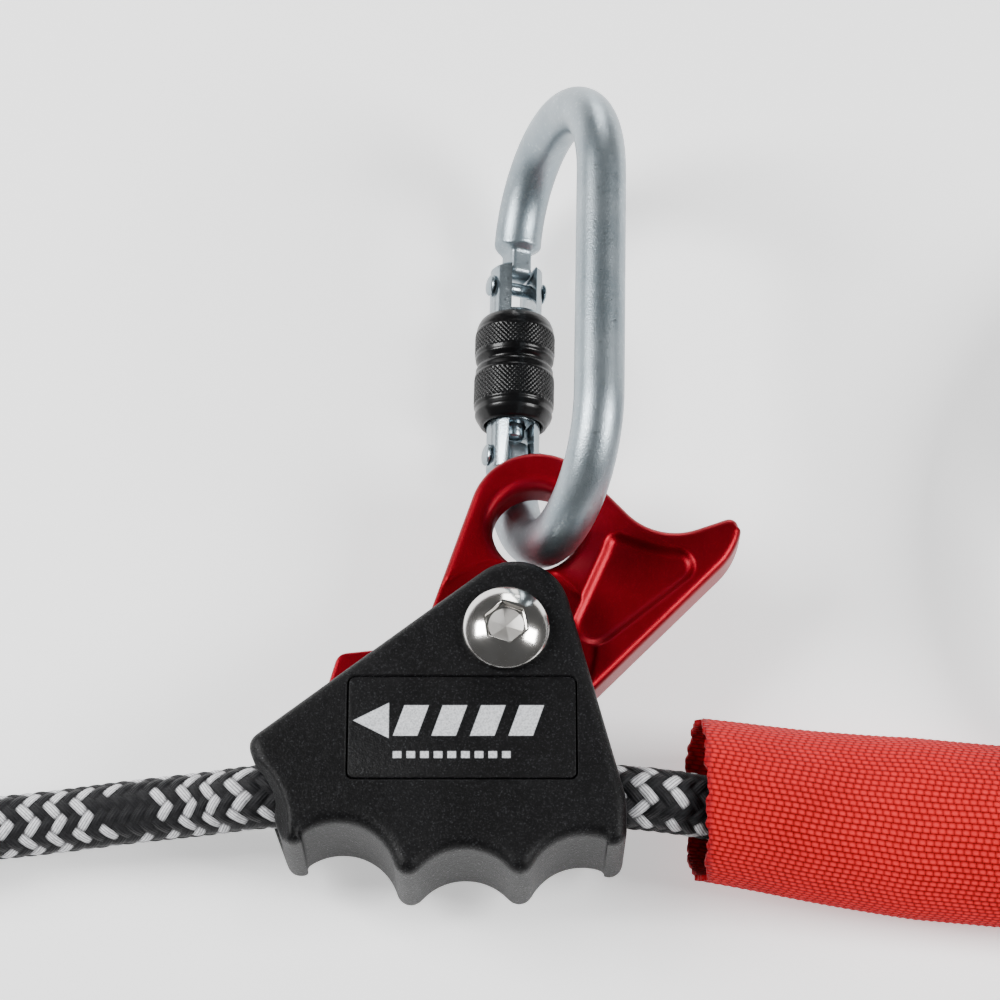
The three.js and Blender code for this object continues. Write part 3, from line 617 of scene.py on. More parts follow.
# The outline of a rectangle with corners of radius r, drawn in by inset.
def roundedRect(xs, ys, r, inset=0.0):
    x0, x1, y0, y1 = xs[0] + inset, xs[1] - inset, ys[0] + inset, ys[1] - inset
    q = r - inset
    corners = [(x1 - q, y1 - q), (x0 + q, y1 - q), (x0 + q, y0 + q), (x1 - q, y0 + q)]
    arcs = [arcPoints(x, y, q, 90 * k, 90 * k + 90, cornerSteps) for k, (x, y) in enumerate(corners)]
    return np.vstack(arcs)


# Powder coat: black, finely grained, with specks that are glossier and painted lighter as painted glints, and
# a pale printed mark where one is asked for.
def powderFinish(name, mark=False):
    f = Finish(name, Specular_IOR_Level=0.16, Metallic=0.0)
    grain = f.noise(2600, 2, 0.6)
    coarse = f.noise(900, 2, 0.5)
    speck = f.cells(3600)
    bright = f.parts(speck)[0].step(0.9, 1.0)
    wide = f.noise(60, 3, 0.55)
    colour = f.blend(wide.step(0.3, 0.7), (0.0010, 0.0010, 0.0012), (0.0022, 0.0022, 0.0026))
    colour = f.blend(grain.step(0.52, 0.72) * 0.5, colour, (0.022, 0.022, 0.024))
    # painted glints: the specks are painted a lighter grey, beside their real lower roughness
    colour = f.blend(bright * 0.4, colour, (0.045, 0.046, 0.05))
    rough = 0.36 + 0.16 * grain + 0.08 * wide - 0.16 * bright
    if mark:
        printed = markMask(f)
        ink = f.blend(grain.step(0.3, 0.65), (0.36, 0.37, 0.39), (0.62, 0.63, 0.65))
        colour = f.blend(printed, colour, ink)
        rough = rough * (1 - printed) + 0.55 * printed
    height = grain * 0.7 + coarse * 0.6 + bright * 0.3
    return f.feed(Base_Color=colour, Roughness=rough, Normal=f.bump(height, 0.00022, 0.75))


# The mark: an arrow along the rope, four slanted bars behind it, and a row of short dashes below.
def markMask(f):
    x, y, _ = f.parts(f.place)
    x, y = x / mm + 10.6, y / mm + 20.6

    def soft(d):
        return d.step(-0.12, 0.12)

    head = soft((x + 22) * 0.52 - y.abs()) * soft(-14.4 - x)
    slant = x - y * 0.35
    bars = soft(1.0 - ((slant + 12.6).mod(8.2) - 2.9).abs() + 1.6) * soft(3.4 - y.abs())
    bars = bars * soft(slant + 12.6) * soft(19.0 - slant)
    low = y + 7.6
    dashes = soft(0.9 - ((x + 14).mod(2.9) - 1.45).abs()) * soft(0.75 - low.abs())
    dashes = dashes * soft(x + 14) * soft(12.1 - x)
    return head.max(bars).max(dashes)


housing = makeHousing(housingFacts)
powder = powderFinish("powderCoat")
dress(housing, powder, "grab", ["housing"])


def makeLabel():
    low, high = nodeBox("label_plate")
    xs, ys = (low[0] / mm, high[0] / mm), (low[1] / mm, high[1] / mm)
    top = high[2] / mm
    levels = [(low[2] / mm, 0.0), (top - 0.16, 0.0), (top - 0.05, 0.06), (top, 0.22)]
    rings = []
    for z, inset in levels:
        flat = roundedRect(xs, ys, 1.4, inset)
        rings.append(np.column_stack([flat, np.full(len(flat), z)]))
    return skinOf("labelPlate", np.array(rings) * mm)


dress(smoothByAngle(makeLabel(), 50), powderFinish("labelPrint", mark=True), "grab", ["label_plate"])
print("housing made")

# Pivot.
screwFacts = {"radius": 9.45, "rise": 4.5, "rim": 1.1, "socket": 4.1, "turn": -0.35, "depth": 3.2}


# The button head: rings round the axis, whose inner ones follow the hexagon of the socket and whose outer
# ones lie on a ball of radius (radius squared + rise squared) / (2 * rise). Its shank runs down from it.
def makeScrew(facts):
    base = frontZ + 0.3
    a = fullTurn(144)
    hexagon = facts["socket"] / np.cos(np.mod(a - facts["turn"], math.pi / 3) - math.pi / 6)
    radius, rise = facts["radius"], facts["rise"]
    ball = (radius * radius + rise * rise) / (2 * rise)

    def dome(r):
        return base + facts["rim"] + rise - (ball - np.sqrt(ball * ball - r * r))

    floor = base + facts["rim"] + rise - facts["depth"]
    rows = [(np.full_like(a, 0.02), floor - 0.9), (hexagon * 0.45, floor - 0.5), (hexagon * 0.93, floor),
            (hexagon * 0.985, floor + 0.06), (hexagon, floor + 0.25), (hexagon, dome(hexagon) - 0.35)]
    rows += [(hexagon + g, dome(hexagon + g) - d) for g, d in ((0.04, 0.16), (0.14, 0.05), (0.32, 0.0))]
    for t in np.linspace(0.0, 1, 14)[1:]:
        r = (hexagon + 0.32) * (1 - t) + (radius - 0.16) * t
        rows.append((r, dome(r)))
    under = [(radius, base + facts["rim"] - 0.15), (radius, base + 0.3), (radius - 0.12, base + 0.08),
             (radius - 0.4, base), (2.9, base), (2.9, base - 13)]
    rows += [(np.full_like(a, q), z) for q, z in under]
    rings = [np.stack([r * np.cos(a), r * np.sin(a), np.broadcast_to(z, a.shape)], -1) for r, z in rows]
    return skinOf("pivotScrew", np.array(rings) * mm, flip=True)


def stainlessFinish():
    f = Finish("stainless", Metallic=1.0)
    x, y, z = f.parts(f.place)
    swirl = f.noise(160, 3, 0.5)
    scratch = f.noise(2200, 2, 0.5, vector=f.join(x * 0.25, y, z))
    colour = f.blend(swirl.step(0.3, 0.7), (0.68, 0.66, 0.63), (0.76, 0.745, 0.72))
    socket = 1 - (x * x + y * y).step(0.0000135, 0.0000155)
    return f.feed(Base_Color=colour, Roughness=0.09 + 0.05 * swirl + 0.05 * scratch + 0.3 * socket,
                  Normal=f.bump(scratch, 0.00001, 0.3))


stainless = stainlessFinish()
dress(smoothByAngle(makeScrew(screwFacts), 45), stainless, "grab", ["pivot_screw"])
bolt = bevelled(copyOf("pivot_bolt", "pivotBolt"), 0.0005, 3, 32)
dress(smoothByAngle(bake(bolt), 35), stainless, "grab", ["pivot_bolt"])

# Cam.
camFacts = {
    "circles": [(7, 30.6, 15.2), (-25, 7.2, -7.6), (-34.7, -4.2, 2.7), (-35.2, -14.4, 5), (-12, 5.2, 30.6),
                (4, -6.6, 13.4), (34.5, 30.9, 18.2), (49.7, 28, 2), (37.6, 40.9, -14.2)],
    "recess": [(24.6, 23.6, 2.2), (6.6, 27.7, -16.2), (19.4, 4.9, 4.7), (37.5, 18.4, 3.9),
               (37.6, 40.9, -18.5)],
    "teeth": (229, 7, 7, 1.1),      # bearing of the first tooth groove, degrees apart, count, radius
    "thick": 11.0, "thin": 10.0, "edge": 1.7, "stepR": 19.8, "eye": (6.6, 27.7, 9.6), "rim": 3.0, "deep": 1.5,
    "voxel": 0.0004, "passes": 5,
}


def makeCam(facts):
    low, high = midZ - facts["thick"] / 2, midZ + facts["thick"] / 2
    body = bandPlate("camLever", facts["circles"], roundedLevels(low, high, facts["edge"], 7), 0.7)
    tools = []
    for sign, face in ((-1, midZ - facts["thin"] / 2), (1, midZ + facts["thin"] / 2)):
        z0, z1 = sorted((face, face + sign * 20))
        tools.append(prism("stepTool", arcPoints(0, 0, facts["stepR"], 0, 360, 97)[:-1], z0, z1))
        tools.append(prism("toeTool", [(-60, -60), (10, -60), (10, 8), (-60, 8)], z0, z1))
    ex, ey, er = facts["eye"]
    rim = facts["rim"]
    a = np.radians(np.linspace(0, 90, 8))
    lip = np.stack([er + rim * (1 - np.cos(a)), rim * (np.sin(a) - 1)], -1)
    upper = np.column_stack([lip[:, 0], high + lip[:, 1]])
    lower = np.column_stack([lip[::-1, 0], low - lip[::-1, 1]])
    profile = [(0, low - 6), (er + rim, low - 6), *lower, *upper, (er + rim, high + 6), (0, high + 6)]
    tools.append(turnedSolid("eyeTool", profile, np.array([ex, ey, 0]) * mm, (0, 0, 1), 96))
    for sign, face in ((-1, low), (1, high)):
        rows = [(4, 0.0), (-0.1, -0.5), (-0.5, 0.1), (-1.0, 0.5), (-facts["deep"], 1.6)]
        rows = [(face + sign * dz, inset) for dz, inset in rows]
        tools.append(bandPlate("recessTool", facts["recess"], sorted(rows), 0.6))
    cx, cy, r = facts["circles"][4]
    first, apart, count, toothR = facts["teeth"]
    for bearing in np.radians(first + apart * np.arange(count)):
        x, y = cx + (r + 0.1) * math.cos(bearing), cy + (r + 0.1) * math.sin(bearing)
        tools.append(prism("toothTool", arcPoints(x, y, toothR, 0, 360, 13)[:-1], 0, 60))
    cutOut(body, tools)
    return castSoft(body, facts["voxel"], facts["passes"])


# Anodised aluminium: deep red metal under a clear skin, bead-blasted to a fine grain, with the grain's peaks
# painted a brighter red as painted glints.
def anodisedFinish():
    f = Finish("redAnodised", Metallic=0.88, Coat_Roughness=0.25, Specular_IOR_Level=0.3)
    grain = f.noise(3200, 2, 0.6)
    wide = f.noise(45, 3, 0.55)
    colour = f.blend(wide.step(0.25, 0.75), (0.20, 0.0012, 0.007), (0.27, 0.0020, 0.011))
    # painted glints: the grain's peaks are painted a brighter red
    colour = f.blend(grain.step(0.55, 0.85) * 0.3, colour, (0.55, 0.016, 0.036))
    return f.feed(Base_Color=colour, Roughness=0.33 + 0.14 * grain + 0.05 * wide,
                  Coat_Weight=0.06 + 0.06 * wide, Normal=f.bump(grain, 0.00010, 0.55))


cam = makeCam(camFacts)
dress(cam, anodisedFinish(), "cam_lever", ["cam"])
print("cam made")

# Karabiner.
# Its own frame: x from the gate to the spine, y along the legs, z out of its plane.
alongLeg = unit(joints["sleeve_travel"]["axis"])
outOfPlane = -unit(joints["gate_swing"]["axis"])
acrossRing = np.cross(alongLeg, outOfPlane)
karaFacts = {
    "barR": 5.5, "halfW": 25.2, "straight": 26.6, "bow": 25.2, "rivetLow": -23.6, "rivetHigh": 19.6,
    "keyEnd": 21.9, "keyA": 3.7, "keyB": 2.7, "tongueR": 4.2, "gateR": 6.15,
}
rivetPlace = np.array(joints["gate_swing"]["pos_m"])
karaCentre = rivetPlace + (acrossRing * karaFacts["halfW"] - alongLeg * karaFacts["rivetLow"]) * mm


def fromKara(points):
    p = np.asarray(points, float) * mm
    return karaCentre + p[..., 0:1] * acrossRing + p[..., 1:2] * alongLeg + p[..., 2:3] * outOfPlane


# The bar: a superellipse section carried from the nose round the ring to the hinge tongue. It is round with
# exponent 2, and flat-sided with exponent 5 where it necks down to the nose key and to the tongue.
def makeBar(facts):
    w, st, bow = facts["halfW"], facts["straight"], facts["bow"]
    a = np.radians(np.linspace(180, 0, 80))
    top = np.stack([w * np.cos(a), st + bow * np.sin(a)], -1)
    low = top[::-1] * [1, -1]
    keyLine = np.column_stack([np.full(14, -w), np.linspace(facts["keyEnd"], st - 0.3, 14)])
    tongueEnd = facts["rivetLow"] + facts["tongueR"]
    tongue = np.column_stack([np.full(14, -w), np.linspace(-st + 0.3, tongueEnd, 14)])
    flat = np.vstack([keyLine, top, low, tongue])
    line = relaxed(evenly(np.column_stack([flat, np.zeros(len(flat))]), 0.6), 12)
    s = distanceAlong(line)
    fromNose, fromTongue = s, s[-1] - s
    noseRound = smoothStep(fromNose, 6.6, 9.0)
    tongueRound = smoothStep(fromTongue, 9.4, 12.4)
    full = np.minimum(noseRound, tongueRound)
    isNose = fromNose < fromTongue
    tip = np.where(isNose, np.sqrt(np.clip(1 - np.clip(1 - fromNose / 1.3, 0, 1) ** 2, 0.02, 1)),
                   np.sqrt(np.clip(1 - np.clip(1 - fromTongue / facts["tongueR"], 0, 1) ** 2, 0.01, 1)))
    wide = np.where(isNose, facts["keyA"], facts["tongueR"])
    wide = wide * tip * (1 - full) + facts["barR"] * full
    deepTip = np.where(isNose, 0.8 + 0.2 * tip, 1.0)
    deep = facts["keyB"] * deepTip * (1 - full) + facts["barR"] * full
    power = 2 / (5 - 3 * full)
    t = fullTurn(64)
    c, q = np.cos(t)[None, :], np.sin(t)[None, :]
    inPlane = np.sign(c) * np.abs(c) ** power[:, None] * wide[:, None]
    across = np.sign(q) * np.abs(q) ** power[:, None] * deep[:, None]
    tangent = unit(np.gradient(line, axis=0))
    side = np.cross([0, 0, 1.0], tangent)
    rings = line[:, None, :] + inPlane[:, :, None] * side[:, None, :]
    rings[:, :, 2] += across
    return skinOf("karabinerBar", fromKara(rings), flip=True)


# A rivet with a low domed head at each side of the gate.
def makeRivet(name, y, facts):
    half, r, head = facts["gateR"] + 0.3, 2.55, 0.85
    a = np.radians(np.linspace(0, 90, 7))
    dome = np.stack([r * np.cos(a), half + head * np.sin(a)], -1)
    one = [(1.6, half - 0.15), (r - 0.2, half - 0.15), (r, half - 0.02), *dome[:-1], (0.02, dome[-1][1])]
    profile = [(q, -z) for q, z in reversed(one)] + one
    centre = fromKara([-facts["halfW"], y, 0])
    return turnedSolid(name, profile, centre, outOfPlane, 40)


sleeveFacts = {"foot": -15.6, "length": 26.6, "radius": 9.25, "inner": 6.5, "turns": 54, "height": 0.2}


# The screw sleeve: a turned profile whose two bands carry a diamond knurl, the product of two crossed waves.
def makeSleeve(facts):
    length, big = facts["length"], facts["radius"]
    shape = np.array([
        (facts["inner"], 0.45), (facts["inner"], 0.02), (6.9, 0.0), (7.4, 0.0), (7.75, 0.012), (8.75, 0.075),
        (9.0, 0.10), (8.95, 0.115), (8.95, 0.155), (big, 0.175), (big, 0.19), (big, 0.445), (big, 0.46),
        (9.05, 0.475), (9.05, 0.52), (8.75, 0.545), (8.15, 0.56), (8.15, 0.575), (8.8, 0.60), (9.1, 0.615),
        (9.1, 0.64), (big, 0.655), (big, 0.67), (big, 0.86), (big, 0.87), (9.1, 0.885), (9.0, 0.915),
        (8.7, 0.95), (8.2, 0.985), (7.85, 1.0), (7.6, 0.995), (7.6, 0.5)])
    step = np.concatenate([[0], np.cumsum(np.hypot(np.diff(shape[:, 0]), np.diff(shape[:, 1]) * length))])
    at = np.linspace(0, step[-1], 230)
    r, y = np.interp(at, step, shape[:, 0]), np.interp(at, step, shape[:, 1])
    outside = (at > step[3]) & (at < step[-3])
    band = outside * (smoothStep(y, 0.185, 0.2) * (1 - smoothStep(y, 0.435, 0.45))
                      + smoothStep(y, 0.665, 0.68) * (1 - smoothStep(y, 0.85, 0.865)))
    a = fullTurn(324)
    n = facts["turns"]
    k = 2 * math.pi * length / 1.15 * y[:, None]
    wave = np.abs(np.sin(n * a / 2 + k / 2)) * np.abs(np.sin(n * a / 2 - k / 2))
    radius = r[:, None] + band[:, None] * facts["height"] * (wave * 1.6 - 0.9)
    up = np.broadcast_to((facts["foot"] + length * y)[:, None], radius.shape)
    points = np.stack([-karaFacts["halfW"] + radius * np.cos(a), up, radius * np.sin(a)], -1)
    return meshFrom("lockSleeve", fromKara(points), ringFaces(*radius.shape))


# Bright zinc plate: pale blue-grey metal, faintly mottled, with a fine grain and small flecks that are a
# little glossier and painted paler as painted sparkle.
def zincFinish(name, rough, grainy):
    f = Finish(name, Metallic=0.93, Specular_IOR_Level=0.5)
    grain = f.noise(2400, 2, 0.65)
    wide = f.noise(70, 4, 0.6)
    sparkleFleck = f.parts(f.cells(1700))[1].step(0.86, 1.0)
    colour = f.blend(wide.step(0.3, 0.7), (0.22, 0.27, 0.30), (0.32, 0.37, 0.40))
    colour = f.blend(grain.step(0.35, 0.7) * grainy, colour, (0.30, 0.34, 0.37))
    # painted sparkle: the flecks are painted a paler blue-grey
    colour = f.blend(sparkleFleck * grainy * 0.25, colour, (0.62, 0.68, 0.72))
    return f.feed(Base_Color=colour, Roughness=rough + 0.14 * grain + 0.08 * wide - 0.08 * sparkleFleck,
                  Normal=f.bump(grain, 0.00009, 0.35 + grainy * 0.5))


# Black finished steel: near black under a thin gloss, greyer in soft patches.
def blackFinish():
    f = Finish("blackSteel", Metallic=0.1, Coat_Roughness=0.12, Specular_IOR_Level=0.2)
    grain = f.noise(1800, 3, 0.6)
    wide = f.noise(160, 3, 0.6)
    colour = f.blend(wide.step(0.35, 0.8), (0.0012, 0.0012, 0.0014), (0.004, 0.004, 0.0045))
    return f.feed(Base_Color=colour, Roughness=0.22 + 0.12 * grain + 0.08 * wide,
                  Coat_Weight=0.12 + 0.1 * wide, Normal=f.bump(grain, 0.00004, 0.4))


zinc = zincFinish("zincPlate", 0.27, 0.55)
brightZinc = zincFinish("zincBright", 0.13, 0.2)
dress(makeBar(karaFacts), zinc, "karabiner", ["karabiner_body"])
gate = bake(bevelled(copyOf("karabiner_gate", "gateTube"), 0.00025, 2, 40))
dress(smoothByAngle(gate, 32), brightZinc, "gate", ["karabiner_gate"])
latchPin = makeRivet("latchPin", karaFacts["rivetHigh"], karaFacts)
dress(latchPin, brightZinc, "gate", ["latch_pin"])
gateRivet = makeRivet("gateRivet", karaFacts["rivetLow"], karaFacts)
dress(gateRivet, brightZinc, "karabiner", ["gate_rivet"])
lockSleeve = smoothByAngle(makeSleeve(sleeveFacts), 50)
dress(lockSleeve, blackFinish(), "screw_sleeve", ["lock_sleeve"])
plunger = bake(copyOf("spring_plunger", "plungerPin"))
dress(smoothByAngle(plunger, 32), brightZinc, "plunger", ["spring_plunger"])
print("karabiner made")


# Small metal parts.
def metalFinish(name, dark, light, rough):
    f = Finish(name, Metallic=1.0)
    grain, wide = f.noise(1500, 3, 0.6), f.noise(200, 3, 0.6)
    return f.feed(Base_Color=f.blend(wide.step(0.3, 0.7), dark, light), Roughness=rough + 0.2 * grain,
                  Normal=f.bump(grain, 0.00004, 0.4))


bronze = metalFinish("bearingBronze", (0.30, 0.17, 0.07), (0.42, 0.26, 0.12), 0.3)
springSteel = metalFinish("springWire", (0.32, 0.32, 0.34), (0.5, 0.5, 0.52), 0.22)
for node, name, material, body, slotName in (
        ("rear_washer", "rearWasher", bronze, "grab", "bronze"),
        ("front_washer", "frontWasher", bronze, "grab", "bronze"),
        ("cam_bushing", "camBushing", bronze, "cam_lever", "bronze"),
        ("cam_spring", "camSpring", springSteel, "grab", "spring_steel"),
        ("gate_spring", "gateSpring", springSteel, "gate", "spring_steel")):
    dress(smoothByAngle(bake(copyOf(node, name)), 40), material, body, [node])

# Webbing protector.
webFacts = {"flat": 48.5, "wall": 1.3, "start": 43.2, "end": 143.0, "around": 220, "along": 230,
            "half": 16.9, "widen": 2.4, "narrow": 1.2,      # half its width: at the mouth, gained, lost
            "rise": 10.6, "sink": 1.6, "endSink": 0.8,      # half its height: at the mouth, lost, lost
            "shift": 1.8, "bend": 3.0}      # how far it lies beside the rope's line, and bends back at the end


# The sleeve: a flattened tube round the rope, with an oval section. Two slow waves ripple its upper side,
# and the two cut ends are uneven where they were melted.
def makeWeb(facts):
    x = np.linspace(facts["start"], facts["end"], facts["along"])
    t = (x - x[0]) / (x[-1] - x[0])
    cy = np.interp(x, leadStraight[:, 0], leadStraight[:, 1])
    cz = np.interp(x, leadStraight[:, 0], leadStraight[:, 2])
    cy = cy + facts["shift"] - facts["bend"] * smoothStep(t, 0.75, 1)
    half = facts["half"] + facts["widen"] * np.clip(t * 2.2, 0, 1) - facts["narrow"] * smoothStep(t, 0.8, 1)
    rise = facts["rise"] - facts["sink"] * t - facts["endSink"] * smoothStep(t, 0.75, 1)
    cz = np.maximum(cz, rise + facts["wall"] + 0.15)
    a = fullTurn(facts["around"])
    c, q = np.cos(a)[None, :], np.sin(a)[None, :]
    lift = np.sign(q) * np.abs(q) ** 1.18
    ripple = 0.35 * np.sin(x[:, None] * 0.13 + 2.2 * c) + 0.22 * np.sin(x[:, None] * 0.31 - 3.1 * c + 1.0)
    scallop = 0.12 * np.sin(2 * math.pi * x[:, None] / 1.7) * np.abs(c) ** 30
    walls = []
    for out in (0.0, facts["wall"]):
        y = cy[:, None] + (half[:, None] + out + scallop) * c
        z = cz[:, None] + (rise[:, None] + out) * lift + np.where(q > 0, ripple * np.abs(q), 0)
        walls.append(np.stack([np.broadcast_to(x[:, None], y.shape), y, z], -1))
    inner, outer = walls
    melt = 0.28 * np.sin(a * 9) + 0.2 * np.sin(a * 23 + 1) + 0.15 * np.sin(a * 41 + 2)
    back = np.clip(-np.sin(a), 0, 1) ** 0.5
    for wall in (inner, outer):
        wall[0, :, 0] += melt - 0.2
        wall[-1, :, 0] -= melt + 0.4
        pull = np.exp(-np.linspace(0, 12, len(x)))[:, None]
        wall[..., 0] -= pull * back[None, :] * 3.4
    n, m = facts["around"], facts["along"]
    points = np.vstack([outer.reshape(-1, 3), inner.reshape(-1, 3)])
    skinFaces = gridFaces(m, n, flip=True)
    lining = gridFaces(m, n, base=m * n)
    k = np.arange(n)
    k2 = (k + 1) % n
    start = np.stack([k, k2, m * n + k2, m * n + k], -1)
    finish = np.stack([(m - 1) * n + k2, (m - 1) * n + k, 2 * m * n - n + k, 2 * m * n - n + k2], -1)
    faces = np.vstack([skinFaces, lining, start, finish]).tolist()
    aroundLength = facts["flat"] * 2

    def uv(corner, mesh):
        return np.stack([seamColumns(corner, mesh, n) / n * aroundLength, x[corner % (m * n) // n]], -1)

    return meshFrom("webSleeve", points * mm, faces, uv)


# Red webbing: a twill whose floats step across the tape, with painted highlights on the float tops and painted
# shade in the gaps between them.
def webFinish(facts):
    f = Finish("redWebbing", Specular_IOR_Level=0.12, Sheen_Weight=0.04, Sheen_Roughness=0.4)
    v, u, _ = f.uv()
    pitch, rows = 1.7, 1.05
    row = (v / rows).floor()
    across = (v / rows).fract()
    # each row is stepped against the last, two rows one way and two back, so that the floats run in chevrons
    stagger = row * 0.5 + ((row.mod(8) - 4).abs() * 0.22)
    run = (u / pitch + stagger).fract()
    body = (across * math.pi).sin() ** 0.6
    bead = (run * math.pi).sin() ** 0.5
    fibre = f.noise(2600, 3, 0.65)
    uneven = f.noise(420, 2, 0.5)
    height = body * (0.35 + 0.65 * bead) + fibre * 0.18 + uneven * 0.25
    tone = f.noise(35, 3, 0.6)
    base = f.blend(tone.step(0.3, 0.7), (0.34, 0.0008, 0.0028), (0.44, 0.0014, 0.0045))
    # painted highlight: the tops of the floats are painted a brighter red
    lit = f.blend((bead * body).step(0.45, 0.95) * (0.35 + 0.5 * uneven), base, (0.78, 0.022, 0.032))
    # painted shade: the gaps between floats are painted near black
    colour = f.blend((body * bead).step(0.02, 0.42), (0.07, 0.0002, 0.0005), lit)
    colour = f.blend(fibre.step(0.5, 0.9) * 0.25, colour, (0.60, 0.02, 0.018))
    x, _, _ = f.parts(f.place)
    end = 1 - (x / mm - facts["start"]).step(0.1, 1.5)
    colour = f.blend(end * 0.6, colour, (0.22, 0.002, 0.008))
    return f.feed(Base_Color=colour, Roughness=0.72 + 0.12 * fibre - 0.25 * end,
                  Normal=f.bump(height, 0.00035, 0.8))


web = makeWeb(webFacts)
dress(web, webFinish(webFacts), "protector", ["web_protector"])
print("webbing made")

# What is on the rope.
endFacts = {"coverX": 309.0, "coverLength": 40.0, "halfW": 16.0, "halfH": 8.5, "loopX": 378.0, "loopR": 19.0,
            "grooveR": 7.3, "sides": 96,
            "tailX": -150.0, "tailLength": 34.0, "tailY": -36.4, "tailR": 10.45}


# The cover: rounded sections that swell from one rope to two side by side, pinched near each
# end, with a furrow between the two ropes.
def makeCover(facts):
    t = np.linspace(0, 1, 90)
    wide = 8.4 + (facts["halfW"] - 8.4) * smoothStep(t, 0.08, 0.62)
    high = 8.35 + (facts["halfH"] - 8.35) * smoothStep(t, 0.1, 0.5)
    pinch = 1 - 0.035 * (np.exp(-((t - 0.07) / 0.02) ** 2) + np.exp(-((t - 0.93) / 0.02) ** 2))
    ends = np.sqrt(np.clip(1 - np.clip(1 - np.minimum(t, 1 - t) / 0.03, 0, 1) ** 2, 0, 1)) * 0.06 + 0.94
    a = fullTurn(96)
    c, q = np.cos(a), np.sin(a)
    waist = 1 - 0.10 * smoothStep(t, 0.45, 0.8)[:, None] * np.exp(-(c[None, :] / 0.28) ** 2)
    y = ropeFacts["endY"] + (wide * pinch * ends)[:, None] * np.sign(c) * np.abs(c) ** 0.9
    z = ropeFacts["endZ"] + (high * pinch * ends)[:, None] * waist * np.sign(q) * np.abs(q) ** 0.9
    x = np.broadcast_to((facts["coverX"] + facts["coverLength"] * t)[:, None], y.shape)
    return skinOf("spliceCover", np.stack([x, y, z], -1) * mm)


def loopLine(facts):
    start = facts["coverX"] + facts["coverLength"] + 0.1
    y, z = ropeFacts["endY"], ropeFacts["endZ"]
    a = np.radians(np.linspace(-112, 112, 17))
    turn = [(facts["loopX"] + facts["loopR"] * math.cos(q), y + facts["loopR"] * math.sin(q), z) for q in a]
    legs = [(start + dx, y - 7 - out, z) for dx, out in ((0, 0.3), (3, 0.35), (7, 1.5))]
    return throughPoints([*legs, *turn, *[(p[0], 2 * y - p[1], z) for p in reversed(legs)]], 0.6)


# The thimble: a closed profile turned about the eye's axis, its groove round the rope and its lips rolled.
def makeThimble(facts):
    grooveR = facts["grooveR"]
    floor = facts["loopR"] - grooveR
    b = np.radians(np.linspace(140, 220, 13))
    groove = np.stack([facts["loopR"] + grooveR * np.cos(b), grooveR * np.sin(b)], -1)
    edge, lip = groove[0]
    top = [(edge, lip + 0.3), (edge - 0.4, 7.4), (floor + 1.2, 7.75), (floor - 1.0, 7.55), (floor - 2.1, 6.6),
           (floor - 2.4, 5.6), (floor - 2.55, 2.6), (floor - 2.6, 0)]
    ring = np.vstack([groove[::-1], top, [(r, -z) for r, z in top[:-1][::-1]]])
    a = fullTurn(facts["sides"])
    x, y = facts["loopX"] + ring[:, 0:1] * np.cos(a), ropeFacts["endY"] + ring[:, 0:1] * np.sin(a)
    points = np.stack([x, y, np.broadcast_to(ropeFacts["endZ"] + ring[:, 1:2], x.shape)], -1)
    return meshFrom("eyeThimble", points * mm, ringFaces(*x.shape))


# The stopper: a turned cap over the rope's end, with five grip rings.
def makeTailStop(facts):
    length, radius = facts["tailLength"], facts["tailR"]
    y = np.linspace(0.06, 0.74, 90)
    grip = radius - 0.55 * (0.5 + 0.5 * np.cos(2 * math.pi * 5 * (y - 0.06) / 0.68)) ** 2
    foot = [(0.02, 0), (8.0, 0), (8.9, 0.4), (9.5, 1.1)]
    mouth = [(9.4, 0.82), (8.8, 0.93), (8.4, 0.985), (8.1, 1), (7.3, 1), (7.3, 0.8), (0.02, 0.8)]
    profile = [*foot, *zip(grip, y * length), *[(r, share * length) for r, share in mouth]]
    centre = np.array([facts["tailX"], facts["tailY"], 10.5]) * mm
    return turnedSolid("tailStopper", profile, centre, (1, 0, 0), 80)


# Moulded black plastic: satin, faintly mottled, with a fine spark-eroded grain.
def mouldedFinish(name, colour, light, rough, ribs=False):
    f = Finish(name, Specular_IOR_Level=0.2)
    grain, wide = f.noise(2200, 3, 0.6), f.noise(90, 3, 0.55)
    height = grain
    if ribs:
        _, y, _ = f.parts(f.place)
        height = grain * 0.3 + (y * (2 * math.pi / 0.0016)).sin() * 0.5
    return f.feed(Base_Color=f.blend(wide.step(0.3, 0.7), colour, light), Roughness=rough + 0.18 * grain,
                  Normal=f.bump(height, 0.00010, 0.5))


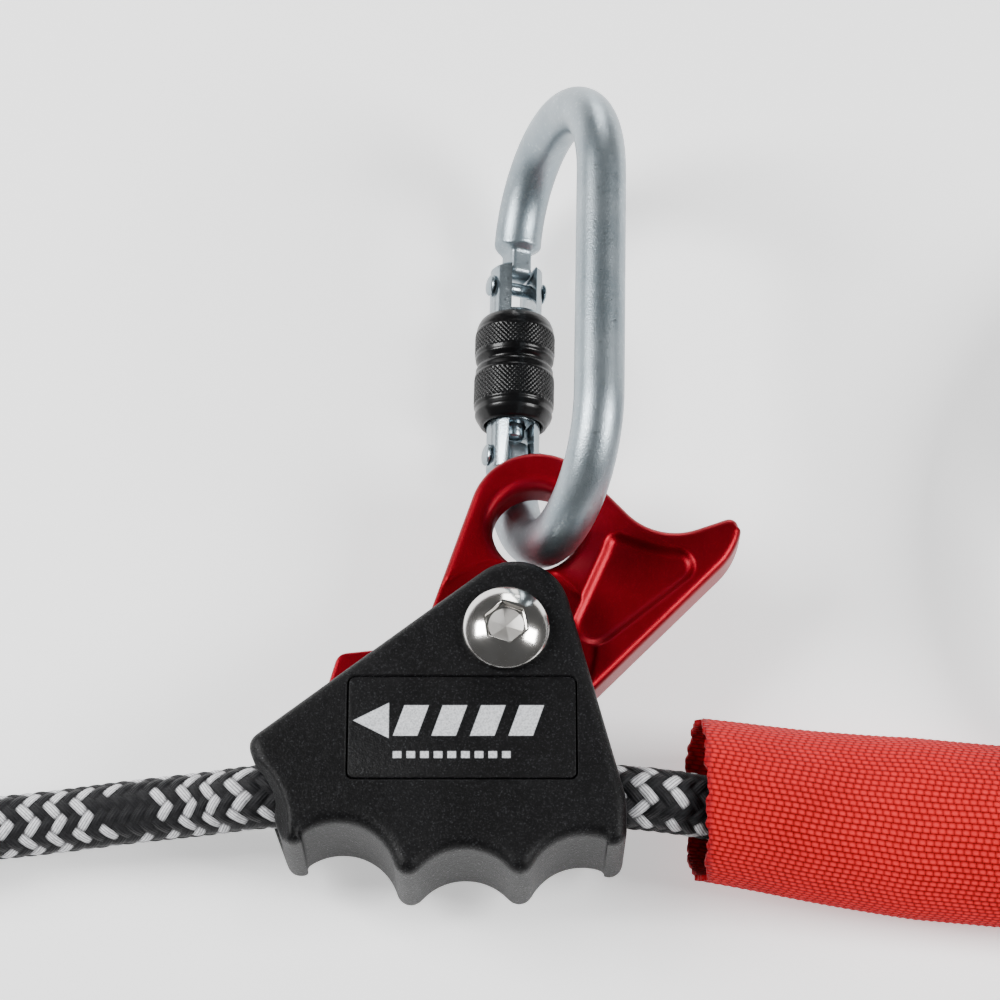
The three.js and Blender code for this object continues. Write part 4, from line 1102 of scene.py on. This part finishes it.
nylon = mouldedFinish("blackNylon", (0.002, 0.002, 0.0023), (0.005, 0.005, 0.0055), 0.38)
strapNylon = mouldedFinish("strapNylon", (0.0025, 0.0025, 0.0028), (0.006, 0.006, 0.0066), 0.42, ribs=True)
cover, thimble, stopper = makeCover(endFacts), makeThimble(endFacts), makeTailStop(endFacts)
dress(cover, nylon, "grab", ["splice_cover"])
dress(smoothByAngle(thimble, 45), nylon, "grab", ["thimble"])
dress(smoothByAngle(stopper, 40), nylon, "grab", ["tail_stop"])
loop = loopLine(endFacts)
eyeRope = ropeSkin("eyeRope", loop, ropeFacts, 96)
dress(eyeRope, ropeMaterial, "grab", ["eye_loop"])
tie = bake(bevelled(copyOf("coil_tie", "coilStrap"), 0.0003, 2, 40))
dress(smoothByAngle(tie, 40), strapNylon, "grab", ["coil_tie"])
declareCord(tail)
declareCord(lead)
print("rope ends made")

# Floor and light.
stageFacts = {
    "half": 3.0, "world": 0.1, "aim": (0, 0.02, 0.02),
    # each lamp's name, place, size and power
    "lamps": [("key", (-0.85, 0.15, 0.75), 0.5, 22), ("fill", (0.85, -0.1, 0.7), 0.45, 16),
              ("back", (0.15, 1.3, 0.35), 0.5, 7)],
}


def makeStage(facts):
    half = facts["half"]
    corners = [(-half, -half, 0), (half, -half, 0), (half, half, 0), (-half, half, 0)]
    floor = meshFrom("floor", corners, [[0, 1, 2, 3]])
    f = Finish("paleFloor", Roughness=0.9, Specular_IOR_Level=0.1, Emission_Strength=0.7,
               Emission_Color=(1, 1, 1, 1))
    floor.data.materials.append(f.feed(Base_Color=(0.86, 0.86, 0.86, 1)))
    world = bpy.data.worlds.new("studio")
    bpy.context.scene.world = world
    world.use_nodes = True
    background = world.node_tree.nodes["Background"]
    background.inputs["Color"].default_value = (1, 1, 1, 1)
    background.inputs["Strength"].default_value = facts["world"]
    for name, place, size, power in facts["lamps"]:
        lamp = bpy.data.lights.new(name, "AREA")
        lamp.energy, lamp.size = power, size
        lampObject = bpy.data.objects.new(name, lamp)
        bpy.context.scene.collection.objects.link(lampObject)
        lampObject.location = place
        lampObject.rotation_mode = "QUATERNION"
        lampObject.rotation_quaternion = (Vector(facts["aim"]) - Vector(place)).to_track_quat("-Z", "Y")


makeStage(stageFacts)

print("scene made")
